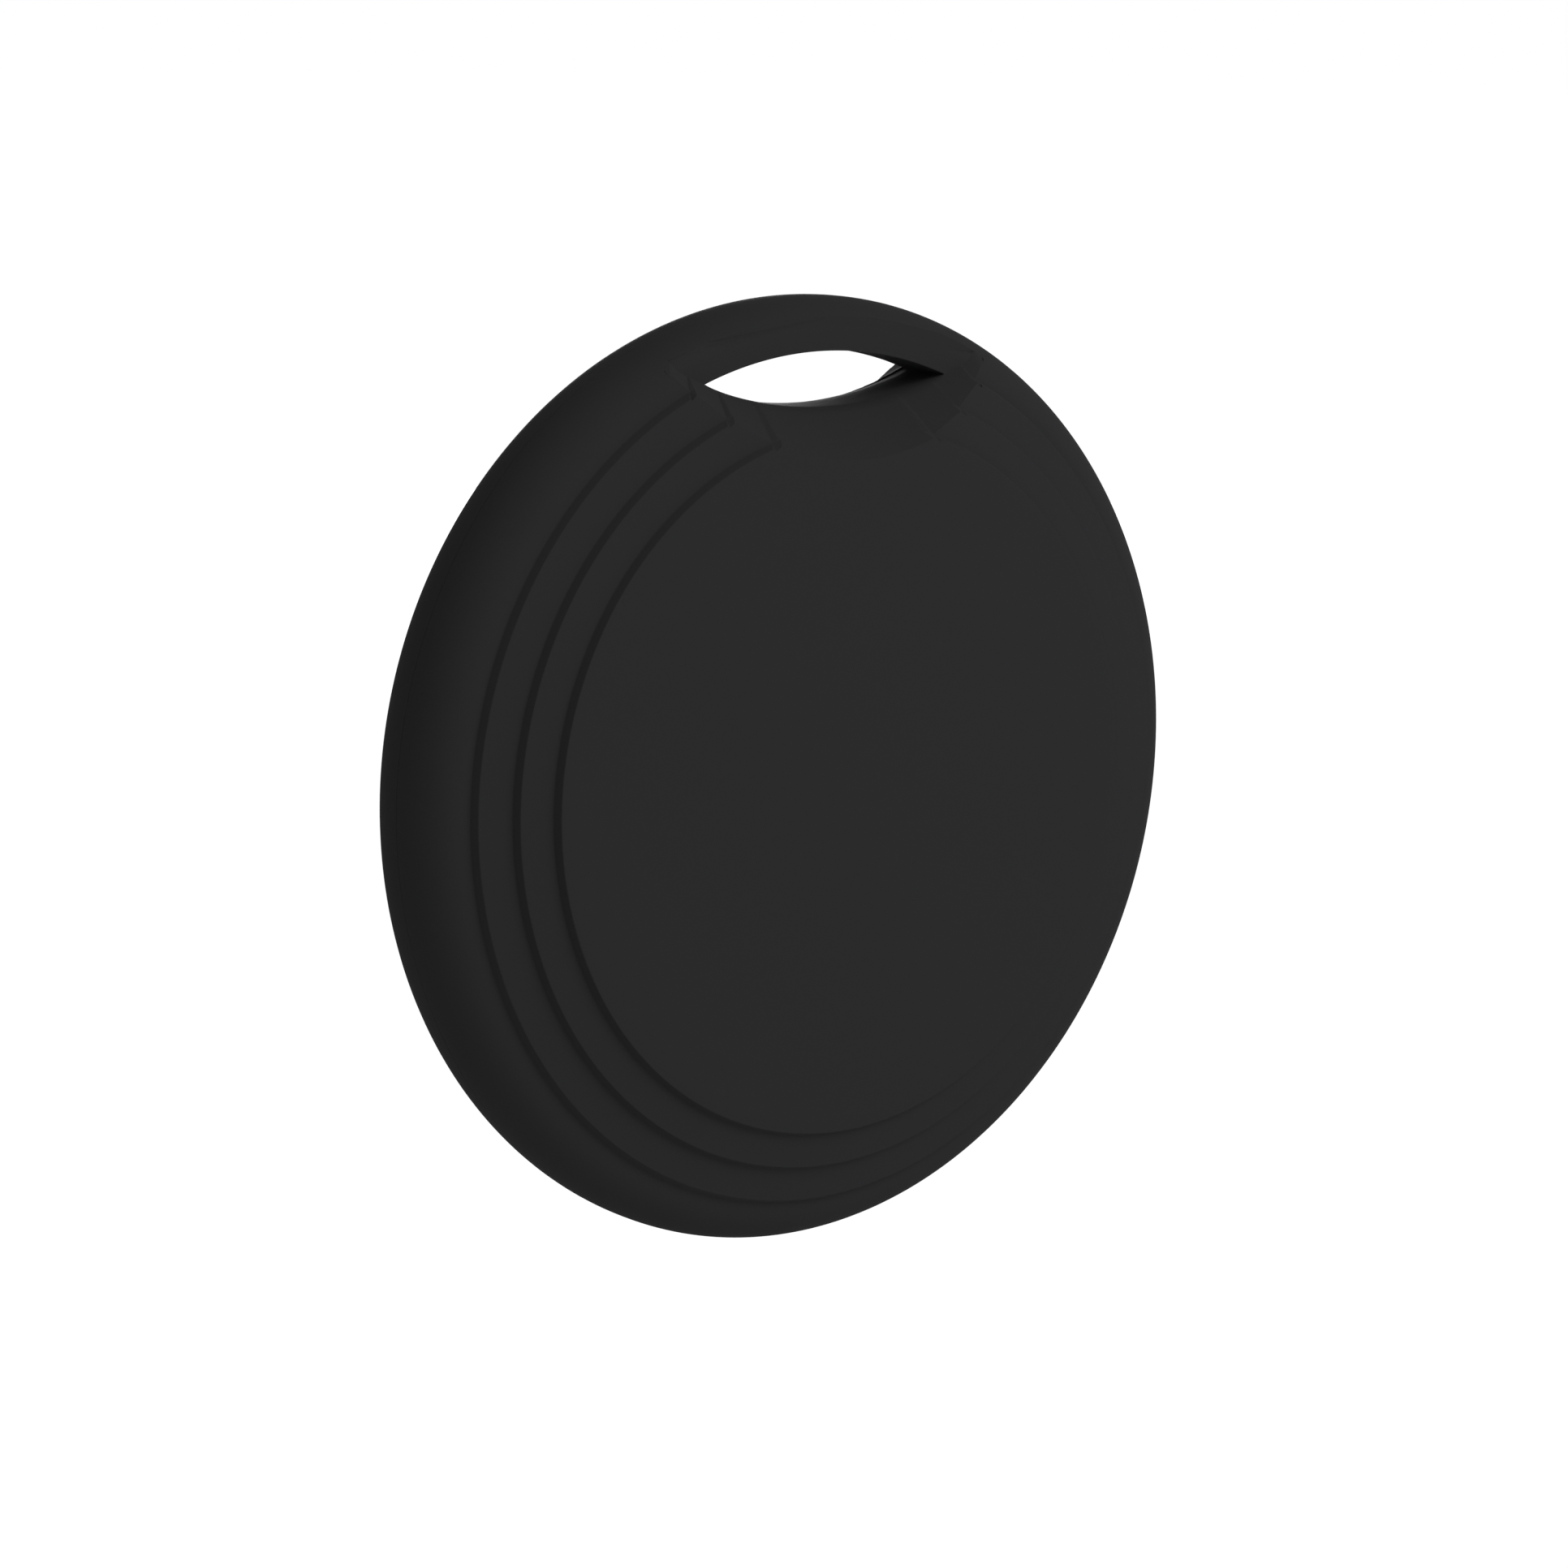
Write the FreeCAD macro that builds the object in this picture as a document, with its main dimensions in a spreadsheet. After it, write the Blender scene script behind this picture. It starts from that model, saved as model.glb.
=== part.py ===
import FreeCAD, Part
import os
import re
from math import atan2, hypot, sqrt

import Sketcher
from FreeCAD import Placement, Rotation, Vector

# A round tracker tag with a key-ring loop. Every piece is drawn lying flat: the parting plane of the
# two half shells is z = 0, the stepped face looks along +Z and the loop is towards +Y. Each finished
# piece is then stood up, with its face along -Y, the loop at the top and the origin in the loop.

# Driving sizes, in millimetres and degrees.
SIZES = {
    # Outer form of the two half shells
    "tag_radius": 19.0,
    "front_round": 2.2,
    "back_round": 3.1,
    "back_depth": 3.3,
    "rim_band": 1.85,
    "step_pitch": 1.48,
    "step_rise": 0.33,
    "step_lean": 0.155,
    "outer_terrace_rise": 0.31,
    "inner_terrace_rise": 0.25,
    "dome_rise": 0.67,
    # Key-ring loop and the scoop that clears it
    "bar_width": 2.1,
    "bar_front": 1.65,
    "bar_back": 1.25,
    "low_arc_inset": 4.3,
    "low_arc_radius": 17.3,
    "top_arc_inset": 6.2,
    "top_arc_radius": 10.6,
    "bulkhead": 1.3,
    # Walls and the joint between the shells
    "face_wall": 1.1,
    "base_wall": 0.9,
    "rim_wall": 2.4,
    "spigot_wall": 0.8,
    "spigot_rise": 0.85,
    "spigot_clearance": 0.08,
    "rib_width": 1.2,
    "rib_clearance": 0.03,
    "seal_inset": 0.3,
    "seal_width": 0.5,
    "seal_depth": 0.35,
    "seal_clearance": 0.02,
    "notch_width": 6.0,
    "notch_depth": 0.9,
    "notch_reach": 0.8,
    "notch_angle": -24.0,
    # Circuit board on its posts
    "board_gap": 3.2,
    "board_thickness": 0.6,
    "board_clearance": 0.4,
    "board_top": 2.1,
    "post_inset": 1.3,
    "post_radius": 0.95,
    "pin_radius": 0.5,
    "pin_reach": 0.35,
    "pin_clearance": 0.08,
    # Coin cell
    "cell_radius": 10.0,
    "cell_height": 3.2,
    "can_wall": 0.25,
    "cap_inset": 1.4,
    "cap_shoulder": 0.6,
    "cap_stand": 0.2,
    "crimp_lip": 0.45,
    # Cradle and contacts behind the board
    "contact_gap": 0.2,
    "contact_sheet": 0.14,
    "cradle_gap": 0.3,
    "cradle_wall": 0.6,
    "cradle_depth": 2.2,
    "finger_width": 2.4,
    "finger_depth": 2.6,
    "finger_gap": 0.04,
    "finger_foot": 2.3,
    "finger_slot": 0.3,
    "leaf_inset": 2.0,
    "leaf_foot": 2.4,
    "leaf_width": 2.2,
    # Sounder on the floor of the back shell
    "plate_edge": 0.55,
    "plate_clearance": 0.15,
    "plate_rim": 0.5,
    "plate_rim_rise": 0.5,
    "plate_thickness": 0.2,
    "ceramic_gap": 0.3,
    "ceramic_thickness": 0.2,
    "lead_width": 1.2,
    "lead_thickness": 0.1,
    "spring_gap": 0.13,
    "barrel_radius": 0.42,
    "barrel_length": 2.6,
    "tip_radius": 0.25,
    "tip_clearance": 0.05,
    "spring_angle": 18.0,
    "cushion_inset": 1.0,
    "cushion_radius": 0.7,
    # Tactile switch in the middle of the board
    "switch_length": 3.6,
    "switch_width": 3.2,
    "switch_height": 0.46,
    "switch_floor": 0.06,
    "switch_well": 1.3,
    "switch_leg": 0.45,
    "dome_sheet": 0.05,
    "dome_height": 0.12,
    "dome_play": 0.1,
    "cover_sheet": 0.1,
    "button_radius": 0.75,
    "button_rise": 0.2,
    "button_fit": 0.05,
    "flange_radius": 1.1,
    "flange_thickness": 0.1,
    "boss_radius": 1.4,
    "boss_gap": 0.05,
    # Parts on the front of the board
    "chip_x": -5.6,
    "chip_y": 3.4,
    "chip_side": 5.0,
    "chip_height": 0.6,
    "chip_mark": 0.3,
    "crystal_x": -6.6,
    "crystal_y": -1.4,
    "crystal_length": 2.5,
    "crystal_width": 2.0,
    "crystal_height": 0.5,
    "clock_x": -1.6,
    "clock_y": 6.4,
    "clock_length": 3.2,
    "clock_width": 1.5,
    "clock_height": 0.6,
    "antenna_x": 0.0,
    "antenna_edge": 2.4,
    "antenna_length": 7.0,
    "antenna_width": 2.0,
    "antenna_height": 0.45,
    "coil_x": 6.0,
    "coil_y": 3.6,
    "coil_side": 3.0,
    "coil_height": 0.65,
    "driver_x": 6.2,
    "driver_y": -1.4,
    "driver_length": 2.9,
    "driver_width": 1.3,
    "driver_height": 0.6,
    "driver_leg": 0.45,
    "lid_inset": 0.2,
    "capacitor_x": -4.0,
    "capacitor_y": -4.6,
    "resistor_x": -3.0,
    "resistor_y": -7.2,
    "passive_length": 1.0,
    "passive_width": 0.5,
    "passive_height": 0.4,
    "passive_pitch": 1.6,
    "passive_cap": 0.22,
    "passive_lip": 0.03,
}

CAPACITORS = 6
RESISTORS = 5
POST_ANGLES = (42, 138, 232, 308)
FINGER_ANGLES = (20, 160, 270)
CUSHION_ANGLES = (0, 60, 120, 180, 240, 300)
RIB_ANGLES = (-90, -45, 0, 180, 225)

# Radii of the three raised rings, at the top and the foot of each step, from the rim inwards.
FOOT_1 = "(tag_radius - rim_band)"
TOP_1 = f"({FOOT_1} - step_lean)"
TOP_2 = f"({TOP_1} - step_pitch)"
TOP_3 = f"({TOP_2} - step_pitch)"
FOOT_2 = f"({TOP_2} + step_lean)"
FOOT_3 = f"({TOP_3} + step_lean)"

# Heights of the same edges. The outermost step stands on the rounding of the rim.
FOOT_1_Z = "sqrt(front_round ^ 2 - (front_round - rim_band) ^ 2)"
TOP_1_Z = f"({FOOT_1_Z} + step_rise)"
FOOT_2_Z = f"({TOP_1_Z} + outer_terrace_rise)"
TOP_2_Z = f"({FOOT_2_Z} + step_rise)"
FOOT_3_Z = f"({TOP_2_Z} + inner_terrace_rise)"
TOP_3_Z = f"({FOOT_3_Z} + step_rise)"
CROWN_Z = f"({TOP_3_Z} + dome_rise)"

# Centres, along Y, of the two arcs that bound the scoop, and the middle of the loop's hole.
LOW_ARC_Y = "(tag_radius - low_arc_inset + low_arc_radius)"
TOP_ARC_Y = "(tag_radius - top_arc_inset + top_arc_radius)"
HOLE_RADIUS = "(tag_radius - bar_width)"
LOOP_Y = "(tag_radius - (bar_width + low_arc_inset) / 2)"
SCOOP_END = "(0.9 * top_arc_radius)"
FAR = f"({CROWN_Z} + back_depth)"

# The chamber inside the shells.
CHAMBER_RADIUS = "(tag_radius - rim_wall)"
CHAMBER_ARC = "(low_arc_radius + bulkhead)"
FLOOR_Z = "(base_wall - back_depth)"

# The board and its posts, the coin cell, and what stands beside the cell.
BOARD_RADIUS = f"({CHAMBER_RADIUS} - board_gap)"
POST_CIRCLE = f"({BOARD_RADIUS} - post_inset)"
CAP_RADIUS = "(cell_radius - cap_inset)"
CAP_SKIRT = f"({CAP_RADIUS} + cap_shoulder)"
CRIMP_RADIUS = f"({CAP_RADIUS} + crimp_lip)"
SPRING_CIRCLE = "(cell_radius + cradle_gap + cradle_wall + spring_gap + barrel_radius)"
PLATE_RADIUS = f"({SPRING_CIRCLE} + plate_edge)"
CERAMIC_RADIUS = "(cell_radius - cushion_inset - cushion_radius - ceramic_gap)"

# The stack behind the board.
BOARD_BACK = "(board_top - board_thickness)"
CELL_FRONT = f"({BOARD_BACK} - contact_gap)"
CELL_BACK = f"({CELL_FRONT} - cell_height)"
PLATE_FRONT = f"({FLOOR_Z} + plate_thickness)"
BUTTON_BASE = "(board_top + switch_height - flange_thickness)"
BUTTON_FRONT = "(board_top + switch_height + cover_sheet + button_rise)"

doc = FreeCAD.newDocument("tracker_tag")
sheet = doc.addObject("Spreadsheet::Sheet", "Sizes")
for row, (alias, size) in enumerate(SIZES.items(), start=1):
    sheet.set(f"A{row}", alias)
    sheet.set(f"B{row}", str(size))
    sheet.setAlias(f"B{row}", alias)
doc.recompute()


def sized(text):
    """The expression with the sheet's name before every size that it uses."""
    return re.sub(r"[a-z]\w*", lambda word: f"Sizes.{word[0]}" if word[0] in SIZES else word[0], str(text))


def value(text):
    """The number that an expression has now."""
    return float(sheet.evalExpression(sized(text)))


def bind(item, **properties):
    """Bind properties to expressions; an underscore pair in a name stands for a dot."""
    for name, text in properties.items():
        item.setExpression(name.replace("__", "."), sized(text))


def move(item, x="0", y="0", z="0"):
    """Bind the place of an object."""
    bind(item, Placement__Base__x=x, Placement__Base__y=y, Placement__Base__z=z)
    return item


def new(kind, name, **properties):
    """A new object of the document with its sizes bound."""
    item = doc.addObject(kind, name)
    bind(item, **properties)
    return item


def block(name, length, width, height, x="0", y="0", z="0"):
    """A box centred on x and y that stands on z."""
    box = new("Part::Box", name, Length=length, Width=width, Height=height)
    return move(box, f"{x} - ({length}) / 2", f"{y} - ({width}) / 2", z)


def cylinder(name, radius, height, x="0", y="0", z="0"):
    """A cylinder that stands on z."""
    return move(new("Part::Cylinder", name, Radius=radius, Height=height), x, y, z)


def joined(kind, name, items):
    """A fuse or a compound of several objects."""
    group = doc.addObject(kind, name)
    if kind == "Part::Compound":
        group.Links = items
    else:
        group.Shapes = items
    return group


def alone(item):
    """A compound of one primitive, so that the whole piece can be placed again."""
    return joined("Part::Compound", f"{item.Name}_piece", [item])


def cut(name, base, tool):
    """The base with the tool taken away."""
    result = doc.addObject("Part::Cut", name)
    result.Base = base
    result.Tool = tool
    return result


def carve(name, base, tools):
    """The base with several tools taken away, one after the other."""
    for number, tool in enumerate(tools, start=1):
        base = cut(name if number == len(tools) else f"{name}_{number}", base, tool)
    return base


def spin(item, angle):
    """Turn an object about the tag's axis."""
    item.Placement = Placement(Vector(), Rotation(Vector(0, 0, 1), angle))
    return item


def sketch_in(body, role, offset="0"):
    """An empty sketch on one of the body's own origin planes, moved along its normal."""
    plane = next(feature for feature in body.Origin.OriginFeatures if feature.Role == role)
    sketch = body.newObject("Sketcher::SketchObject", f"{body.Name}_sketch")
    sketch.AttachmentSupport = [(plane, "")]
    sketch.MapMode = "FlatFace"
    bind(sketch, AttachmentOffset__Base__z=offset)
    return sketch


def constrain(sketch, kind, *references, text):
    """Add a dimension that follows an expression."""
    index = sketch.addConstraint(Sketcher.Constraint(kind, *references, value(text)))
    sketch.setExpression(f"Constraints[{index}]", sized(text))


def outline(sketch, corners, arcs=None):
    """Close an outline through corners given as pairs of expressions.

    arcs gives the radius of every edge that is an arc, by the number of the edge. The arc turns
    left on its way to the next corner, or right where the edge's number is negative, less one.
    """
    arcs = arcs or {}
    places = [Vector(value(x), value(y), 0) for x, y in corners]
    starts = []
    ends = []
    for edge, start in enumerate(places):
        end = places[(edge + 1) % len(places)]
        turn = 1 if edge in arcs else -1
        radius = arcs.get(edge, arcs.get(-edge - 1))
        if radius is None:
            line = sketch.addGeometry(Part.LineSegment(start, end))
            starts.append((line, 1))
            ends.append((line, 2))
            continue
        chord = end - start
        rise = sqrt(max(value(radius) ** 2 - chord.Length ** 2 / 4, 0))
        centre = (start + end) / 2 + Vector(-chord.y, chord.x, 0).normalize() * rise * turn
        first, last = (start, end) if turn == 1 else (end, start)
        angles = [atan2(point.y - centre.y, point.x - centre.x) for point in (first, last)]
        circle = Part.Circle(centre, Vector(0, 0, 1), hypot(start.x - centre.x, start.y - centre.y))
        arc = sketch.addGeometry(Part.ArcOfCircle(circle, *angles))
        starts.append((arc, 1 if turn == 1 else 2))
        ends.append((arc, 2 if turn == 1 else 1))
        constrain(sketch, "Radius", arc, text=radius)
    for edge, (x, y) in enumerate(corners):
        sketch.addConstraint(Sketcher.Constraint("Coincident", *ends[edge - 1], *starts[edge]))
        constrain(sketch, "DistanceX", -1, 1, *starts[edge], text=x)
        constrain(sketch, "DistanceY", -1, 1, *starts[edge], text=y)


def circles(sketch, radius, centres):
    """Equal circles about centres given as pairs of expressions."""
    for x, y in centres:
        geometry = Part.Circle(Vector(value(x), value(y), 0), Vector(0, 0, 1), value(radius))
        circle = sketch.addGeometry(geometry)
        constrain(sketch, "DistanceX", -1, 1, circle, 3, text=x)
        constrain(sketch, "DistanceY", -1, 1, circle, 3, text=y)
        constrain(sketch, "Radius", circle, text=radius)


def feature(body, kind, sketch, **properties):
    """A PartDesign feature made from a sketch."""
    item = body.newObject(f"PartDesign::{kind}", f"{body.Name}_{kind.lower()}")
    item.Profile = sketch
    bind(item, **properties)
    sketch.Visibility = False
    return item


def turned(name, corners, arcs=None):
    """A body turned about Z from a half section in the XZ plane."""
    body = doc.addObject("PartDesign::Body", name)
    sketch = sketch_in(body, "XZ_Plane")
    outline(sketch, corners, arcs)
    revolution = feature(body, "Revolution", sketch)
    revolution.ReferenceAxis = (sketch, ["V_Axis"])
    revolution.Angle = 360
    return body


def padded(name, low, height, draw):
    """A body padded upwards from a sketch that draw() fills in."""
    body = doc.addObject("PartDesign::Body", name)
    sketch = sketch_in(body, "XY_Plane", low)
    draw(sketch)
    feature(body, "Pad", sketch, Length=height)
    return body


def on_circle(radius, angle):
    """The place at an angle on a circle about the tag's axis, as a pair of expressions."""
    return f"{radius} * cos({angle})", f"{radius} * sin({angle})"


def crossing(inner, outer, outer_y):
    """Where a circle about the tag's axis meets one about (0, outer_y), on the side of +X."""
    y = f"(({inner}) ^ 2 - ({outer}) ^ 2 + {outer_y} ^ 2) / (2 * {outer_y})"
    return f"sqrt(({inner}) ^ 2 - ({y}) ^ 2)", f"({y})"


def notched_disc(sketch, radius, arc_radius):
    """A disc with its top bitten away by an arc about the centre of the hole's lower edge."""
    x, y = crossing(radius, arc_radius, LOW_ARC_Y)
    corners = [(x, y), ("0", f"-({radius})"), (f"-{x}", y)]
    outline(sketch, corners, {-1: radius, -2: radius, 2: arc_radius})


def notched_plate(name, radius, arc_radius, low, height):
    """A flat plate with the outline of the chamber."""
    return padded(name, low, height, lambda sketch: notched_disc(sketch, radius, arc_radius))


def notched_ring(name, outside, inside, low, height):
    """A frame between two chamber outlines, each given as a radius and an arc radius."""
    outer = notched_plate(f"{name}_outside", *outside, low, height)
    inner = notched_plate(f"{name}_inside", *inside, f"{low} - 1", f"{height} + 2")
    return cut(name, outer, inner)


def scoop(name, low_z, top_z, far_z, left, right, grow="0", near_z=None):
    """The space over a flank that falls from the wide arc on the face to the hole's lower arc.

    It lies between left and right, and runs on from the face to far_z. grow moves its flank
    outwards, to leave a wall behind it, and near_z carries the lower arc straight on from low_z.
    """
    low = (LOW_ARC_Y, f"(low_arc_radius + {grow})")
    top = (TOP_ARC_Y, f"(top_arc_radius + {grow})")
    levels = [(low, low_z), (top, top_z), (top, far_z)]
    if near_z:
        levels.insert(0, (low, near_z))
    sections = []
    for (centre, radius), z in levels:
        section = doc.addObject("Sketcher::SketchObject", f"{name}_section")
        corners = [(x, f"{centre} - sqrt({radius} ^ 2 - ({x}) ^ 2)") for x in (left, right)]
        outline(section, [*corners, (right, "2 * tag_radius"), (left, "2 * tag_radius")], {0: radius})
        sections.append(move(section, "0", "0", z))
    loft = doc.addObject("Part::Loft", name)
    loft.Sections = sections
    loft.Solid = True
    loft.Ruled = True
    return loft


def stand_up(label, item):
    """Name a finished piece and hang it from the origin with its face along -Y."""
    item.Label = label
    item.Placement = Placement(Vector(), Rotation(Vector(1, 0, 0), 90))
    bind(item, Placement__Base__z=f"-{LOOP_Y}")
    nodes[label] = item


def loop_hole():
    """The lens-shaped opening of the key-ring loop, through both half shells."""
    x, y = crossing(HOLE_RADIUS, "low_arc_radius", LOW_ARC_Y)
    corners = [(x, y), (f"-{x}", y)]
    arcs = {0: HOLE_RADIUS, 1: "low_arc_radius"}
    return padded("loop_hole", "-20", "40", lambda sketch: outline(sketch, corners, arcs))


def front_shell():
    """Domed face with three raised rings, the front half of the loop and the board's posts."""
    blank = turned("front_blank", [
        ("0", "0"), ("tag_radius", "0"), (FOOT_1, FOOT_1_Z), (TOP_1, TOP_1_Z), (FOOT_2, FOOT_2_Z),
        (TOP_2, TOP_2_Z), (FOOT_3, FOOT_3_Z), (TOP_3, TOP_3_Z), ("0", CROWN_Z),
    ], {1: "front_round", 7: f"(({TOP_3} ^ 2 + dome_rise ^ 2) / (2 * dome_rise))"})
    # Each terrace has a flank of its own. All start on the same arc, each at its terrace's height,
    # and meet in the hole's lower edge, so the steps between them fade out down the slope.
    rings = [f"({top} + step_lean / 2)" for top in (TOP_3, TOP_2, TOP_1)]
    turns = [crossing(ring, "top_arc_radius", TOP_ARC_Y)[0] for ring in rings]
    edges = [*turns, SCOOP_END]
    heights = [
        f"({TOP_2_Z} + inner_terrace_rise / 2)",
        f"({TOP_1_Z} + outer_terrace_rise / 2)",
        FOOT_1_Z,
    ]
    tools = [scoop("front_flank", "bar_front", TOP_3_Z, FAR, f"-{edges[0]}", edges[0])]
    for number, height in enumerate(heights):
        near, far = edges[number], edges[number + 1]
        tools.append(scoop(f"left_flank_{number}", "bar_front", height, FAR, f"-{far}", f"-{near}"))
        tools.append(scoop(f"right_flank_{number}", "bar_front", height, FAR, near, far))
    hollow = turned("front_hollow", [
        ("0", "0"), (CHAMBER_RADIUS, "0"), (CHAMBER_RADIUS, f"{FOOT_1_Z} - face_wall"),
        (f"{TOP_3} - face_wall", f"{TOP_3_Z} - face_wall"), ("0", f"{CROWN_Z} - face_wall"),
    ], {3: f"(({TOP_3} ^ 2 + dome_rise ^ 2) / (2 * dome_rise))"})
    bulkhead = scoop("front_bulkhead", "bar_front", TOP_3_Z, FAR, f"-{SCOOP_END}", SCOOP_END, "bulkhead", "-1")
    tools.append(cut("front_chamber", hollow, bulkhead))
    tools.append(loop_hole())
    pieces = [carve("front_moulding", blank, tools)]
    for number, angle in enumerate(POST_ANGLES):
        x, y = on_circle(POST_CIRCLE, angle)
        top = f"({TOP_3_Z} - face_wall / 2)"
        pin_low = f"({BOARD_BACK} - pin_reach)"
        pieces.append(cylinder(f"post_{number}", "post_radius", f"{top} - board_top", x, y, "board_top"))
        pieces.append(cylinder(f"pin_{number}", "pin_radius", f"{top} - {pin_low}", x, y, pin_low))
    boss_low = f"({BUTTON_FRONT} + boss_gap)"
    pieces.append(cylinder("boss", "boss_radius", f"{CROWN_Z} - face_wall / 2 - {boss_low}", z=boss_low))
    return joined("Part::MultiFuse", "front_shell", pieces)


def back_shell():
    """Flat-bottomed dish with the back half of the loop, a spigot, a seal channel and a pry notch."""
    shoulder = "(tag_radius - back_round)"
    blank = turned("back_blank", [
        ("0", "0"), ("0", "-back_depth"), (shoulder, "-back_depth"),
        ("tag_radius", "back_round - back_depth"), ("tag_radius", "0"),
    ], {2: "back_round"})
    chamber_radius = f"({CHAMBER_RADIUS} - spigot_clearance - spigot_wall)"
    chamber_arc = f"({CHAMBER_ARC} + spigot_clearance + spigot_wall)"
    hollow = notched_plate("back_hollow", chamber_radius, chamber_arc, FLOOR_Z, "back_depth")
    bulkhead = scoop("back_bulkhead", "-bar_back", "-back_depth", f"-{FAR}", f"-{SCOOP_END}", SCOOP_END,
                     "bulkhead", "1")
    x, y = on_circle("(tag_radius - notch_reach)", "notch_angle")
    notch = block("pry_notch", "tag_radius", "notch_width", "notch_depth", z="-notch_depth")
    bind(notch, Placement__Base__x=f"{x} + notch_width / 2 * sin(notch_angle)")
    bind(notch, Placement__Base__y=f"{y} - notch_width / 2 * cos(notch_angle)")
    bind(notch, Placement__Rotation__Yaw="notch_angle")
    tools = [
        scoop("back_scoop", "-bar_back", "-back_depth", f"-{FAR}", f"-{SCOOP_END}", SCOOP_END),
        cut("back_chamber", hollow, bulkhead),
        seal_frame("seal_channel", "0"),
        notch,
        loop_hole(),
    ]
    moulding = carve("back_moulding", blank, tools)
    spigot = notched_ring(
        "spigot",
        (f"({CHAMBER_RADIUS} - spigot_clearance)", f"({CHAMBER_ARC} + spigot_clearance)"),
        (chamber_radius, chamber_arc), "-base_wall", "base_wall + spigot_rise")
    ribs = []
    for number, angle in enumerate(RIB_ANGLES):
        reach = f"({CHAMBER_RADIUS} - rib_clearance)"
        rib = block(f"rib_{number}", "spigot_wall", "rib_width", "spigot_rise")
        bind(rib, Placement__Base__x=f"({reach} - spigot_wall) * cos({angle}) + rib_width / 2 * sin({angle})")
        bind(rib, Placement__Base__y=f"({reach} - spigot_wall) * sin({angle}) - rib_width / 2 * cos({angle})")
        rib.Placement.Rotation = Rotation(Vector(0, 0, 1), angle)
        ribs.append(rib)
    rim_inside = f"({PLATE_RADIUS} + plate_clearance)"
    rim_top = f"({FLOOR_Z} + plate_rim_rise)"
    rim = turned("plate_rim", [
        (rim_inside, f"{FLOOR_Z} - base_wall / 2"), (f"{rim_inside} + plate_rim", f"{FLOOR_Z} - base_wall / 2"),
        (f"{rim_inside} + plate_rim", rim_top), (rim_inside, rim_top),
    ])
    return joined("Part::MultiFuse", "back_shell", [moulding, spigot, rim, *ribs])


def seal_frame(name, clearance):
    """The seal's frame in the rim of the back shell, lowered from the parting plane."""
    inner = "seal_inset"
    outer = "(seal_inset + seal_width)"
    return notched_ring(
        name,
        (f"({CHAMBER_RADIUS} + {outer})", f"({CHAMBER_ARC} - {outer})"),
        (f"({CHAMBER_RADIUS} + {inner})", f"({CHAMBER_ARC} - {inner})"),
        "-seal_depth", f"seal_depth - {clearance}")


def circuit_board():
    """Round board with the chamber's bite and a hole for each locating pin."""
    slope = f"((top_arc_inset - low_arc_inset) / ({TOP_3_Z} - bar_front))"
    arc = f"({CHAMBER_ARC} + max(board_top - bar_front; 0) * {slope} + board_clearance)"
    body = notched_plate("board", BOARD_RADIUS, arc, BOARD_BACK, "board_thickness")
    sketch = sketch_in(body, "XY_Plane", "board_top")
    circles(sketch, "pin_radius + pin_clearance", [on_circle(POST_CIRCLE, a) for a in POST_ANGLES])
    feature(body, "Pocket", sketch, Length="board_thickness")
    return body


def tiers(name, x, y, levels):
    """A part on the front of the board, of blocks that stand on each other."""
    pieces = []
    foot = "board_top"
    for number, (length, width, height) in enumerate(levels):
        pieces.append(block(f"{name}_{number}", length, width, height, x, y, foot))
        foot = f"({foot} + {height})"
    return joined("Part::MultiFuse", name, pieces)


def radio_chip():
    """Square flat package with a dimple at its first corner."""
    body = doc.addObject("PartDesign::Body", "radio_chip")
    sketch = sketch_in(body, "XY_Plane", "board_top")
    low_x = "chip_x - chip_side / 2"
    low_y = "chip_y - chip_side / 2"
    high_x = "chip_x + chip_side / 2"
    high_y = "chip_y + chip_side / 2"
    outline(sketch, [(low_x, low_y), (high_x, low_y), (high_x, high_y), (low_x, high_y)])
    feature(body, "Pad", sketch, Length="chip_height")
    mark = sketch_in(body, "XY_Plane", "board_top + chip_height")
    circles(mark, "chip_mark", [(f"{low_x} + 3 * chip_mark", f"{high_y} - 3 * chip_mark")])
    feature(body, "Pocket", mark, Length="chip_height / 10")
    return body


def lidded(name, x, y, length, width, height):
    """A ceramic case with a slightly smaller metal lid."""
    lid = (f"{length} - lid_inset", f"{width} - lid_inset", f"({height}) / 2")
    return tiers(name, x, y, [(length, width, f"({height}) / 2"), lid])


def sounder_driver():
    """Small moulded transistor array with three legs on each side."""
    case = block("driver_case", "driver_length", "driver_width", "driver_height",
                 "driver_x", "driver_y", "board_top")
    legs = [
        block(f"driver_leg_{side}_{place}", "driver_leg", "2 * driver_leg", "driver_height / 4",
              f"driver_x + {place} * driver_length / 3",
              f"driver_y + {side} * (driver_width / 2 + driver_leg / 2)", "board_top")
        for side in (-1, 1) for place in (-1, 0, 1)
    ]
    return joined("Part::MultiFuse", "sounder_driver", [case, *legs])


def passives(name, count, x, y):
    """A row of chip capacitors or resistors, each with a wrapped terminal at both ends."""
    row = []
    for number in range(count):
        centre = f"({x} + {number} * passive_pitch)"
        pieces = [block(f"{name}_case", "passive_length - passive_lip", "passive_width", "passive_height",
                        centre, y, "board_top")]
        for side in (-1, 1):
            shift = f"{centre} + {side} * (passive_length - passive_cap) / 2"
            pieces.append(block(f"{name}_end", "passive_cap", "passive_width + 2 * passive_lip",
                                "passive_height + passive_lip", shift, y, "board_top"))
        row.append(joined("Part::MultiFuse", f"{name}_{number}", pieces))
    return joined("Part::Compound", name, row)


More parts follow.
